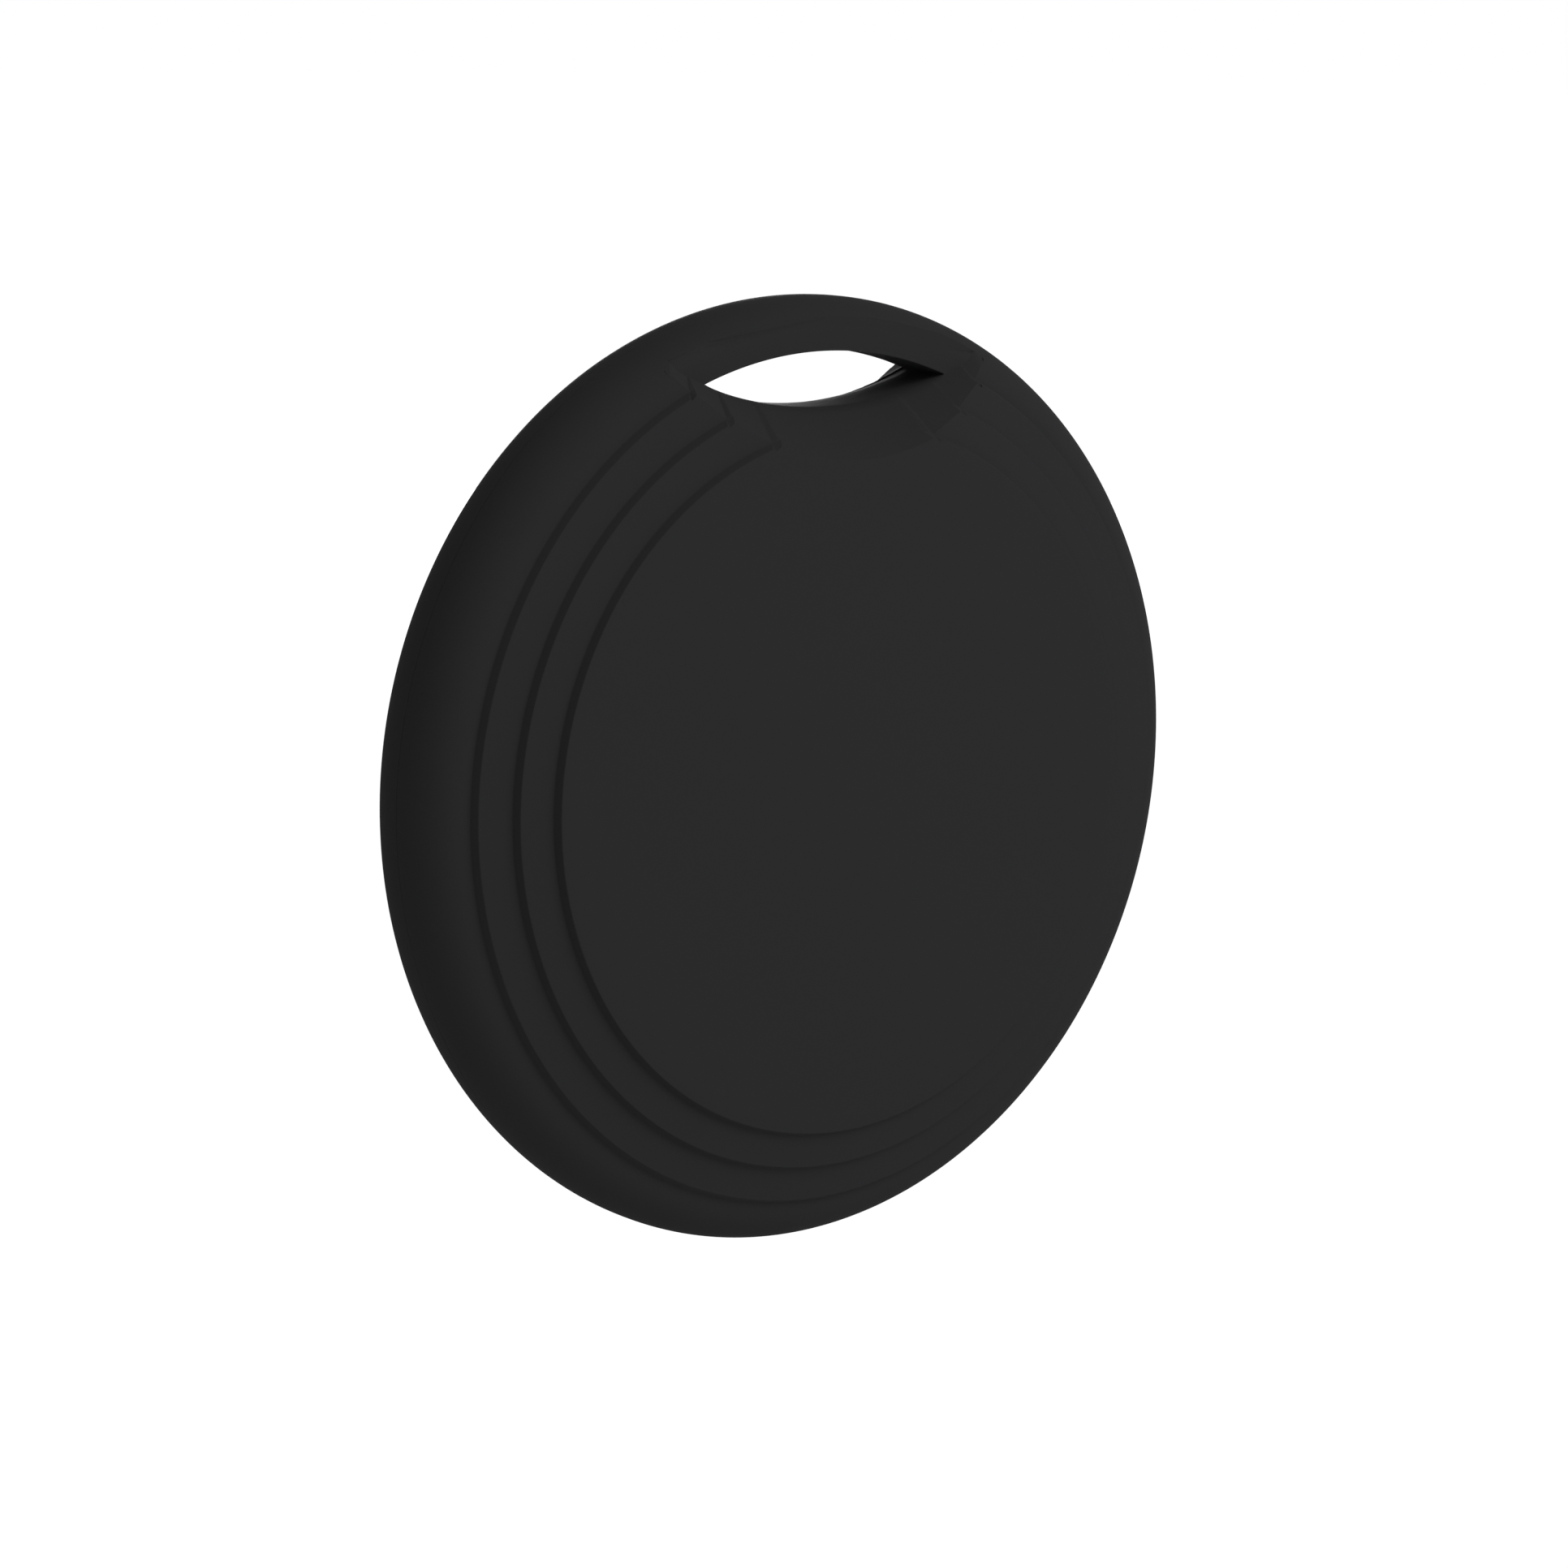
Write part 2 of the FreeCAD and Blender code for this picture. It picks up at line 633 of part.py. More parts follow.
def switch_base():
    """Tray of the tactile switch, with a round well and four solder legs."""
    tray = block("switch_tray", "switch_length", "switch_width", "switch_height", z="board_top")
    well = cylinder("switch_well", "switch_well", "switch_height", z="board_top + switch_floor")
    legs = [
        block(f"switch_leg_{side}_{end}", "switch_leg", "switch_leg", "switch_height / 3",
              f"{side} * (switch_length + switch_leg) / 2", f"{end} * switch_width / 3", "board_top")
        for side in (-1, 1) for end in (-1, 1)
    ]
    return joined("Part::MultiFuse", "switch_base", [cut("switch_cup", tray, well), *legs])


def switch_dome():
    """Thin snap dome in the well of the switch."""
    foot = "(board_top + switch_floor)"
    rim = "(switch_well - dome_play)"
    inner = f"({rim} - dome_sheet)"
    under = "(dome_height - dome_sheet)"
    return turned("switch_dome", [
        (rim, foot), ("0", f"{foot} + dome_height"), ("0", f"{foot} + {under}"), (inner, foot),
    ], {0: f"(({rim} ^ 2 + dome_height ^ 2) / (2 * dome_height))",
        -3: f"(({inner} ^ 2 + {under} ^ 2) / (2 * {under}))"})


def switch_cover():
    """Sheet-metal cover over the tray, with a hole for the button."""
    sheet_top = block("cover_sheet", "switch_length", "switch_width", "cover_sheet",
                      z="board_top + switch_height")
    hole = cylinder("cover_hole", "button_radius + button_fit", "1", z="board_top + switch_height - 0.5")
    sides = [
        block(f"cover_side_{side}", "switch_length - 2 * switch_leg", "cover_sheet",
              "switch_height + cover_sheet", "0", f"{side} * (switch_width + cover_sheet) / 2", "board_top")
        for side in (-1, 1)
    ]
    return joined("Part::MultiFuse", "switch_cover", [cut("cover_top", sheet_top, hole), *sides])


def switch_button():
    """Stepped button that the cover keeps in the well."""
    return turned("switch_button", [
        ("0", BUTTON_BASE), ("flange_radius", BUTTON_BASE),
        ("flange_radius", f"{BUTTON_BASE} + flange_thickness - button_fit / 2"),
        ("button_radius", f"{BUTTON_BASE} + flange_thickness - button_fit / 2"),
        ("button_radius", BUTTON_FRONT), ("0", BUTTON_FRONT),
    ])


def cell_cradle():
    """Ring behind the board that keeps the coin cell centred, with a slot for each clip finger."""
    inner = "(cell_radius + cradle_gap)"
    ring = turned("cradle_ring", [
        (inner, f"{BOARD_BACK} - cradle_depth"), (f"{inner} + cradle_wall", f"{BOARD_BACK} - cradle_depth"),
        (f"{inner} + cradle_wall", BOARD_BACK), (inner, BOARD_BACK),
    ])
    slots = []
    for number, angle in enumerate(FINGER_ANGLES):
        width = "(finger_width + 2 * finger_slot)"
        slot = block(f"cradle_slot_{number}", "2 * cell_radius", width, "2 * cradle_depth")
        bind(slot, Placement__Base__x=f"{width} / 2 * sin({angle})")
        bind(slot, Placement__Base__y=f"-{width} / 2 * cos({angle})")
        bind(slot, Placement__Base__z=f"{BOARD_BACK} - cradle_depth + cradle_wall")
        slot.Placement.Rotation = Rotation(Vector(0, 0, 1), angle)
        slots.append(slot)
    return cut("cell_cradle", ring, joined("Part::MultiFuse", "cradle_slots", slots))


def positive_clip():
    """Spring fingers that stand behind the board and touch the side of the cell's can."""
    inner = "(cell_radius + finger_gap)"
    low = f"({BOARD_BACK} - finger_depth)"
    fingers = []
    for number, angle in enumerate(FINGER_ANGLES):
        body = doc.addObject("PartDesign::Body", f"finger_{number}")
        sketch = sketch_in(body, "XZ_Plane")
        outline(sketch, [
            (inner, f"{low} + finger_foot / 4"), (f"{inner} + contact_sheet", low),
            (f"{inner} + contact_sheet", f"{BOARD_BACK} - contact_sheet"),
            (f"{inner} + finger_foot", f"{BOARD_BACK} - contact_sheet"),
            (f"{inner} + finger_foot", BOARD_BACK), (inner, BOARD_BACK),
        ])
        feature(body, "Pad", sketch, Length="finger_width").Midplane = True
        fingers.append(spin(body, angle))
    return joined("Part::Compound", "positive_clip", fingers)


def negative_contact():
    """Leaf behind the board whose tip rests in the middle of the cell's cap."""
    body = doc.addObject("PartDesign::Body", "negative_contact")
    sketch = sketch_in(body, "XZ_Plane")
    tip = CELL_FRONT
    foot = "(leaf_inset - cell_radius)"
    knee = f"({foot} + leaf_foot)"
    outline(sketch, [
        (foot, f"{BOARD_BACK} - contact_sheet"), (knee, f"{BOARD_BACK} - contact_sheet"),
        ("-leaf_width / 2", tip), ("leaf_width / 2", tip), ("leaf_width / 2", f"{tip} + contact_sheet"),
        ("-leaf_width / 2", f"{tip} + contact_sheet"), (knee, BOARD_BACK), (foot, BOARD_BACK),
    ])
    feature(body, "Pad", sketch, Length="leaf_width").Midplane = True
    return body


def spring_pins():
    """Sprung contact pins from the board to the sounder, beside the cell."""
    pins = []
    for number, side in enumerate((-1, 1)):
        shoulder = f"({BOARD_BACK} - barrel_length)"
        tip = f"({PLATE_FRONT} + lead_thickness + tip_clearance)"
        pin = turned(f"spring_pin_{number}", [
            ("0", tip), ("tip_radius", tip), ("tip_radius", shoulder), ("barrel_radius", shoulder),
            ("barrel_radius", BOARD_BACK), ("0", BOARD_BACK),
        ])
        x, y = on_circle(SPRING_CIRCLE, f"(spring_angle * {side} - 60)")
        pins.append(move(pin, x, y))
    return joined("Part::Compound", "sounder_pins", pins)


def sounder_lead():
    """Insulated tail of the ceramic's electrode, along the plate to its contact pin."""
    angle = "(spring_angle - 60)"
    start = f"({CERAMIC_RADIUS} + lead_thickness)"
    strip = new("Part::Box", "sounder_lead", Length=f"{SPRING_CIRCLE} + 2 * tip_radius - {start}",
                Width="lead_width", Height="lead_thickness")
    bind(strip, Placement__Rotation__Yaw=angle)
    x = f"{start} * cos({angle}) + lead_width / 2 * sin({angle})"
    y = f"{start} * sin({angle}) - lead_width / 2 * cos({angle})"
    move(strip, x, y, PLATE_FRONT)
    return alone(strip)


def cell_cushions():
    """Foam dots on the sounder's plate that press on the edge of the cell."""
    dots = []
    for number, angle in enumerate(CUSHION_ANGLES):
        x, y = on_circle("(cell_radius - cushion_inset)", angle)
        dots.append(cylinder(f"cushion_{number}", "cushion_radius", f"{CELL_BACK} - {PLATE_FRONT}",
                             x, y, PLATE_FRONT))
    return joined("Part::Compound", "cell_cushions", dots)


def cell_can():
    """Deep-drawn can of the coin cell, crimped over its grommet."""
    top = f"({CELL_FRONT} - cap_stand)"
    inside = "(cell_radius - can_wall)"
    return turned("cell_can", [
        ("0", CELL_BACK), ("cell_radius - can_wall", CELL_BACK), ("cell_radius", f"{CELL_BACK} + can_wall"),
        ("cell_radius", f"{top} - can_wall"), (inside, top), (CRIMP_RADIUS, top),
        (CRIMP_RADIUS, f"{top} - can_wall / 2"), (inside, f"{top} - can_wall"),
        (inside, f"{CELL_BACK} + can_wall"), ("0", f"{CELL_BACK} + can_wall"),
    ])


def cell_cap():
    """Negative cap, with a shoulder under the crimp and a skirt inside the grommet."""
    shoulder = f"({CELL_FRONT} - 2 * cap_stand - can_wall)"
    skirt = f"({CELL_BACK} + 2 * can_wall)"
    inside = f"({CAP_SKIRT} - can_wall)"
    throat = f"({CAP_RADIUS} - can_wall)"
    return turned("cell_cap", [
        ("0", CELL_FRONT), (f"{CAP_RADIUS} - can_wall / 2", CELL_FRONT),
        (CAP_RADIUS, f"{CELL_FRONT} - can_wall / 2"), (CAP_RADIUS, shoulder),
        (CAP_SKIRT, f"{shoulder} - can_wall / 2"), (CAP_SKIRT, skirt), (inside, skirt),
        (inside, f"{shoulder} - can_wall"), (throat, f"{shoulder} - can_wall / 2"),
        (throat, f"{CELL_FRONT} - can_wall"), ("0", f"{CELL_FRONT} - can_wall"),
    ])


def cell_grommet():
    """Nylon grommet between the can and the cap."""
    top = f"({CELL_FRONT} - cap_stand)"
    shoulder = f"({CELL_FRONT} - 2 * cap_stand - can_wall)"
    floor = f"({CELL_BACK} + can_wall)"
    skirt = f"({CELL_BACK} + 2 * can_wall)"
    inside = "(cell_radius - can_wall)"
    return turned("cell_grommet", [
        (f"{CAP_SKIRT} - can_wall", floor), (inside, floor), (inside, f"{top} - can_wall"),
        (CRIMP_RADIUS, f"{top} - can_wall / 2"), (CRIMP_RADIUS, top), (CAP_RADIUS, top),
        (CAP_RADIUS, shoulder), (CAP_SKIRT, f"{shoulder} - can_wall / 2"), (CAP_SKIRT, skirt),
        (f"{CAP_SKIRT} - can_wall", skirt),
    ])


def cell_pellet():
    """Pressed pellet inside the sealed cell."""
    floor = f"({CELL_BACK} + can_wall)"
    roof = f"({CELL_FRONT} - 2 * cap_stand - 2 * can_wall)"
    return alone(cylinder("pellet", f"{CAP_RADIUS} - can_wall", f"{roof} - {floor}", z=floor))


nodes = {}
stand_up("front_shell", front_shell())
stand_up("back_shell", back_shell())
stand_up("seal_ring", seal_frame("seal", "seal_clearance"))
stand_up("circuit_board", circuit_board())
stand_up("radio_chip", radio_chip())
stand_up("radio_crystal", lidded("crystal", "crystal_x", "crystal_y", "crystal_length", "crystal_width",
                                 "crystal_height"))
stand_up("clock_crystal", lidded("clock", "clock_x", "clock_y", "clock_length", "clock_width",
                                 "clock_height"))
stand_up("chip_antenna", lidded("antenna", "antenna_x", f"antenna_edge - {BOARD_RADIUS}",
                                "antenna_length", "antenna_width", "antenna_height"))
stand_up("boost_coil", tiers("coil", "coil_x", "coil_y", [
    ("coil_side", "coil_side", "coil_height / 4"),
    ("coil_side - 2 * lid_inset", "coil_side - 2 * lid_inset", "coil_height / 2"),
    ("coil_side", "coil_side", "coil_height / 4"),
]))
stand_up("sounder_driver", sounder_driver())
stand_up("chip_capacitors", passives("capacitor", CAPACITORS, "capacitor_x", "capacitor_y"))
stand_up("chip_resistors", passives("resistor", RESISTORS, "resistor_x", "resistor_y"))
stand_up("switch_base", switch_base())
stand_up("switch_dome", switch_dome())
stand_up("switch_cover", switch_cover())
stand_up("switch_button", switch_button())
stand_up("cell_cradle", cell_cradle())
stand_up("positive_clip", positive_clip())
stand_up("negative_contact", negative_contact())
stand_up("sounder_pins", spring_pins())
stand_up("sounder_plate", alone(cylinder("plate", PLATE_RADIUS, "plate_thickness", z=FLOOR_Z)))
stand_up("sounder_ceramic", alone(cylinder("ceramic", CERAMIC_RADIUS, "ceramic_thickness", z=PLATE_FRONT)))
stand_up("sounder_lead", sounder_lead())
stand_up("cell_cushions", cell_cushions())
stand_up("cell_can", cell_can())
stand_up("cell_grommet", cell_grommet())
stand_up("cell_cap", cell_cap())
stand_up("cell_pellet", cell_pellet())
doc.recompute()

for item in doc.Objects:
    if "Invalid" in item.State or "Error" in item.State:
        raise RuntimeError(f"{item.Label} did not recompute: {item.State}")
os.makedirs("parts", exist_ok=True)
for label, item in nodes.items():
    shape = item.Shape
    if shape.isNull() or not shape.isValid() or not shape.Solids:
        raise RuntimeError(f"{label} has no valid solid")
    shape.exportStep(f"parts/{label}.step")
    print(f"{label}: {len(shape.Solids)} solids, {shape.Volume:.2f} mm3")
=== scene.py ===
"""Looks of a round tracker tag: moulded shells, circuit board, coin cell and sounder."""

import logging
import math
from dataclasses import dataclass, field
from enum import Enum
from typing import Sequence, Union

import bmesh
import bpy
from mathutils import Matrix, Vector


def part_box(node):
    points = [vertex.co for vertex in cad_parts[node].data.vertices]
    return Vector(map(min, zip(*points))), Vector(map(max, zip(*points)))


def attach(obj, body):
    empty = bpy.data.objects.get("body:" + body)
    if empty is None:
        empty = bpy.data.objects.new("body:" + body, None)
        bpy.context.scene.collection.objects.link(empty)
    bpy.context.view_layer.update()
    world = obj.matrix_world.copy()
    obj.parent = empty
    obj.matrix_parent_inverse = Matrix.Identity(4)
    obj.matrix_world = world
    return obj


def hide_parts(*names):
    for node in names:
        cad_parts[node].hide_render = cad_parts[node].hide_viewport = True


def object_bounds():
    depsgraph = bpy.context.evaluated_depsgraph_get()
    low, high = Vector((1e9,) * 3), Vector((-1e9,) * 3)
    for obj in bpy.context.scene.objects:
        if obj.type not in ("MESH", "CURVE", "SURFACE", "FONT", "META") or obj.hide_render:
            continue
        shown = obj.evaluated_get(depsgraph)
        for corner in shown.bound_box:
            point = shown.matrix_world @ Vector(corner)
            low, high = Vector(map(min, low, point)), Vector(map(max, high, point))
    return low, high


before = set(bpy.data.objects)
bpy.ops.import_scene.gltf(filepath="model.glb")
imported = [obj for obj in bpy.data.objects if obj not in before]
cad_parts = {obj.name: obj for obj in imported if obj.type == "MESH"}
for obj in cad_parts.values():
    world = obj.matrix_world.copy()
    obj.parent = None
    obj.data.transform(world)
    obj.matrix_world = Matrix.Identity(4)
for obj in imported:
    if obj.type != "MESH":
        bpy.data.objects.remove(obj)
CAD_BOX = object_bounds()

LOG = logging.getLogger("tracker_tag")
MM = 0.001

Colour = tuple[float, float, float]
Point = tuple[float, float]
Place = tuple[float, float, float]
Value = Union[float, "Signal"]


def srgb(red: float, green: float, blue: float) -> Colour:
    """Turn a display colour into linear light.

    Args:
        red: Red, from 0 to 255.
        green: Green, from 0 to 255.
        blue: Blue, from 0 to 255.

    Returns:
        The colour in linear light.
    """

    def linear(level: float) -> float:
        """Linear light of one channel."""
        share = level / 255
        return share / 12.92 if share <= 0.04045 else ((share + 0.055) / 1.055) ** 2.4

    return linear(red), linear(green), linear(blue)


def scaled(colour: Colour, share: float) -> Colour:
    """A colour with every channel scaled."""
    return tuple(channel * share for channel in colour)


# --------------------------------------------------------------------------- shader maths


class Signal:
    """An output socket that can be used in sums, products and comparisons."""

    def __init__(self, nodes: "Nodes", socket: bpy.types.NodeSocket) -> None:
        """Keep the socket and the nodes that it belongs to."""
        self.nodes = nodes
        self.socket = socket

    def called(self, operation: str, *values: Value) -> "Signal":
        """Add one Math node over the values.

        Args:
            operation: Blender's name of the operation.
            *values: Its values, in order.

        Returns:
            The result.
        """
        return self.nodes.node("ShaderNodeMath", {"operation": operation}, dict(enumerate(values)))

    def __add__(self, other: Value) -> "Signal":
        """Sum."""
        return self.called("ADD", self, other)

    def __radd__(self, other: Value) -> "Signal":
        """Sum with the number first."""
        return self.called("ADD", other, self)

    def __sub__(self, other: Value) -> "Signal":
        """Difference."""
        return self.called("SUBTRACT", self, other)

    def __rsub__(self, other: Value) -> "Signal":
        """Difference with the number first."""
        return self.called("SUBTRACT", other, self)

    def __mul__(self, other: Value) -> "Signal":
        """Product."""
        return self.called("MULTIPLY", self, other)

    def __rmul__(self, other: Value) -> "Signal":
        """Product with the number first."""
        return self.called("MULTIPLY", other, self)

    def __truediv__(self, other: Value) -> "Signal":
        """Quotient."""
        return self.called("DIVIDE", self, other)

    def __rtruediv__(self, other: Value) -> "Signal":
        """Quotient with the number first."""
        return self.called("DIVIDE", other, self)

    def __gt__(self, other: Value) -> "Signal":
        """One where this is the greater, else zero."""
        return self.called("GREATER_THAN", self, other)

    def __lt__(self, other: Value) -> "Signal":
        """One where this is the lesser, else zero."""
        return self.called("LESS_THAN", self, other)

    def larger(self, other: Value) -> "Signal":
        """The greater of two values."""
        return self.called("MAXIMUM", self, other)

    def clamped(self) -> "Signal":
        """This value held between zero and one."""
        return self.called("MINIMUM", self.larger(0.0), 1.0)

    def sine(self) -> "Signal":
        """Sine of an angle in radians."""
        return self.called("SINE", self)

    def fraction(self) -> "Signal":
        """What is left over the whole number below."""
        return self.called("FRACT", self)

    def magnitude(self) -> "Signal":
        """The value without its sign."""
        return self.called("ABSOLUTE", self)


class Nodes:
    """Nodes of a material or a world, added one call at a time."""

    def __init__(self, tree: bpy.types.NodeTree) -> None:
        """Start from an emptied tree."""
        self.tree = tree
        self.tree.nodes.clear()

    def node(
        self,
        kind: str,
        settings: dict[str, object] | None = None,
        values: dict[str | int, object] | None = None,
        output: str | int = 0,
    ) -> Signal:
        """Add a node, apply its settings, then fill its sockets.

        Args:
            kind: Blender's name of the node's type.
            settings: Properties of the node, set before its sockets.
            values: Numbers, colours or signals, by the socket's name or number.
            output: Name or number of the socket that is returned.

        Returns:
            The chosen output.
        """
        item = self.tree.nodes.new(kind)
        for name, setting in (settings or {}).items():
            setattr(item, name, setting)
        for name, value in (values or {}).items():
            if isinstance(value, Signal):
                self.tree.links.new(value.socket, item.inputs[name])
            else:
                item.inputs[name].default_value = value
        return Signal(self, item.outputs[output])

    def surface(self, kind: str, shown: Signal) -> None:
        """End the tree in an output of the given kind."""
        output = self.tree.nodes.new(kind)
        self.tree.links.new(shown.socket, output.inputs["Surface"])

    def seen(self) -> Signal:
        """Tell the rays that the viewer sees from those that only light the tag.

        Returns:
            One for rays from the camera, in a reflection or through glass, else zero.
        """
        camera = self.node("ShaderNodeLightPath", output="Is Camera Ray")
        glossy = self.node("ShaderNodeLightPath", output="Is Glossy Ray")
        through = self.node("ShaderNodeLightPath", output="Is Transmission Ray")
        return (camera + glossy + through).clamped()


class Shader(Nodes):
    """A material with the textures that the tag's finishes share."""

    def __init__(self, name: str) -> None:
        """Start an empty material.

        Args:
            name: Its name.
        """
        self.material = bpy.data.materials.new(name)
        self.material.use_nodes = True
        super().__init__(self.material.node_tree)

    def place(self) -> Signal:
        """Position on the piece, in metres."""
        return self.node("ShaderNodeTexCoord", output="Object")

    def axis(self, name: str, at: Signal | None = None) -> Signal:
        """One coordinate of a position, X, Y or Z."""
        return self.node("ShaderNodeSeparateXYZ", None, {0: at or self.place()}, name)

    def stretched(self, vector: Signal, scale: Sequence[float]) -> Signal:
        """A position with each axis scaled by its own factor."""
        return self.node("ShaderNodeVectorMath", {"operation": "MULTIPLY"}, {0: vector, 1: tuple(scale)})

    def noise(self, size_mm: float, detail: float = 2.0, at: Signal | None = None) -> Signal:
        """Smooth noise with features of a given size.

        Args:
            size_mm: Rough size of its features.
            detail: Number of finer layers on top.
            at: Position that it reads, or the piece's own.

        Returns:
            The noise, from 0 to 1.
        """
        values = {"Vector": at or self.place(), "Scale": 1 / (size_mm * MM), "Detail": detail}
        return self.node("ShaderNodeTexNoise", {"noise_dimensions": "3D"}, values, "Fac")

    def cells(self, size_mm: float) -> Signal:
        """Distance to the nearest of many scattered points."""
        values = {"Vector": self.place(), "Scale": 1 / (size_mm * MM)}
        return self.node("ShaderNodeTexVoronoi", {"feature": "F1"}, values, "Distance")

    def blend(self, mask: Value, first: object, second: object) -> Signal:
        """Mix two colours.

        Args:
            mask: Share of the second colour.
            first: Colour or signal where the mask is 0.
            second: Colour or signal where the mask is 1.

        Returns:
            The mixed colour.
        """

        def full(colour: object) -> object:
            """A colour with its alpha, or the signal as it is."""
            return colour if isinstance(colour, Signal) else (*colour, 1.0)

        values = {0: mask, 6: full(first), 7: full(second)}
        return self.node("ShaderNodeMix", {"data_type": "RGBA"}, values, 2)

    def bump(self, height: Signal, depth_mm: float, normal: Signal | None = None) -> Signal:
        """Normals of a surface that rises and falls with a height.

        Args:
            height: Height from 0 to 1.
            depth_mm: Real depth of the relief.
            normal: Normals that it is laid over.

        Returns:
            The bent normals.
        """
        values: dict[str | int, object] = {"Height": height, "Distance": depth_mm * MM, "Strength": 1.0}
        if normal:
            values["Normal"] = normal
        return self.node("ShaderNodeBump", None, values)

    def rounded(self, radius_mm: float) -> Signal:
        """Normals that round every edge off by a small radius."""
        return self.node("ShaderNodeBevel", {"samples": 4}, {"Radius": radius_mm * MM})

    def finish(self, **sockets: object) -> bpy.types.Material:
        """End the material in a Principled shader.

        Args:
            **sockets: Values by the socket's name, with an underscore for each space.

        Returns:
            The finished material.
        """
        values = {name.replace("_", " "): value for name, value in sockets.items()}
        self.surface("ShaderNodeOutputMaterial", self.node("ShaderNodeBsdfPrincipled", None, values))
        return self.material


# --------------------------------------------------------------------------- finishes

# Fields that end in _mm are sizes of features; wear is how far the roughness wanders.


@dataclass(frozen=True)
class MouldedPlastic:
    """Opaque moulded plastic with the fine texture of a spark-eroded mould."""

    name: str
    colour: Colour
    roughness: float = 0.62
    shine: float = 0.2
    grain_mm: float = 0.09
    grain_depth_mm: float = 0.0016
    edge_mm: float = 0.04
    cloud_mm: float = 6.0
    speck_mm: float = 0.35
    mottle: float = 0.06
    wear: float = 0.08

    def material(self) -> bpy.types.Material:
        """Build the material.

        Returns:
            The plastic.
        """
        shader = Shader(self.name)
        cloud = shader.noise(self.cloud_mm, 3.0)
        speck = shader.noise(self.speck_mm, 2.0)
        shade = (cloud - 0.5) * self.mottle + (speck - 0.5) * self.mottle + 0.5
        light = scaled(self.colour, 1 + self.mottle * 2)
        dark = scaled(self.colour, 1 - self.mottle * 2)
        edge = shader.rounded(self.edge_mm)
        relief = shader.bump(shader.noise(self.grain_mm, 1.5), self.grain_depth_mm, edge)
        return shader.finish(
            Base_Color=shader.blend(shade.clamped(), dark, light),
            Roughness=(self.roughness + (speck - 0.5) * self.wear).clamped(),
            Specular_IOR_Level=self.shine,
            Normal=relief,
        )


class Tone(Enum):
    """Base colours of the metals in the tag."""

    NICKEL = srgb(196, 196, 198)
    TIN = srgb(205, 204, 200)
    BRASS = srgb(206, 170, 96)
    GOLD = srgb(226, 184, 98)
    COPPER = srgb(196, 118, 78)


class Lay(Enum):
    """Direction of the fine lines that rolling or turning leaves in a metal."""

    ALONG_X = (0.03, 1.0, 1.0)
    ALONG_Z = (1.0, 1.0, 0.03)
    EVEN = (1.0, 1.0, 1.0)


@dataclass(frozen=True)
class Metal:
    """Plated or rolled sheet metal with fine lines."""

    name: str
    tone: Tone
    lay: Lay = Lay.EVEN
    roughness: float = 0.3
    wear: float = 0.25
    line_mm: float = 0.08
    line_depth_mm: float = 0.0012
    stain_mm: float = 2.5
    stain: float = 0.82
    edge_mm: float = 0.03

    def material(self) -> bpy.types.Material:
        """Build the material.

        Returns:
            The metal.
        """
        shader = Shader(self.name)
        lines = shader.noise(self.line_mm, 3.0, shader.stretched(shader.place(), self.lay.value))
        stain = shader.noise(self.stain_mm, 2.0)
        dull = scaled(self.tone.value, self.stain)
        return shader.finish(
            Base_Color=shader.blend((stain * 0.5 + lines * 0.5).clamped(), dull, self.tone.value),
            Metallic=1.0,
            Roughness=(self.roughness + (lines - 0.5) * self.wear).clamped(),
            Normal=shader.bump(lines, self.line_depth_mm, shader.rounded(self.edge_mm)),
        )


class Spacing(Enum):
    """Ways to measure the distance between points on the board."""

    SQUARE = "CHEBYCHEV"
    ROUND = "EUCLIDEAN"


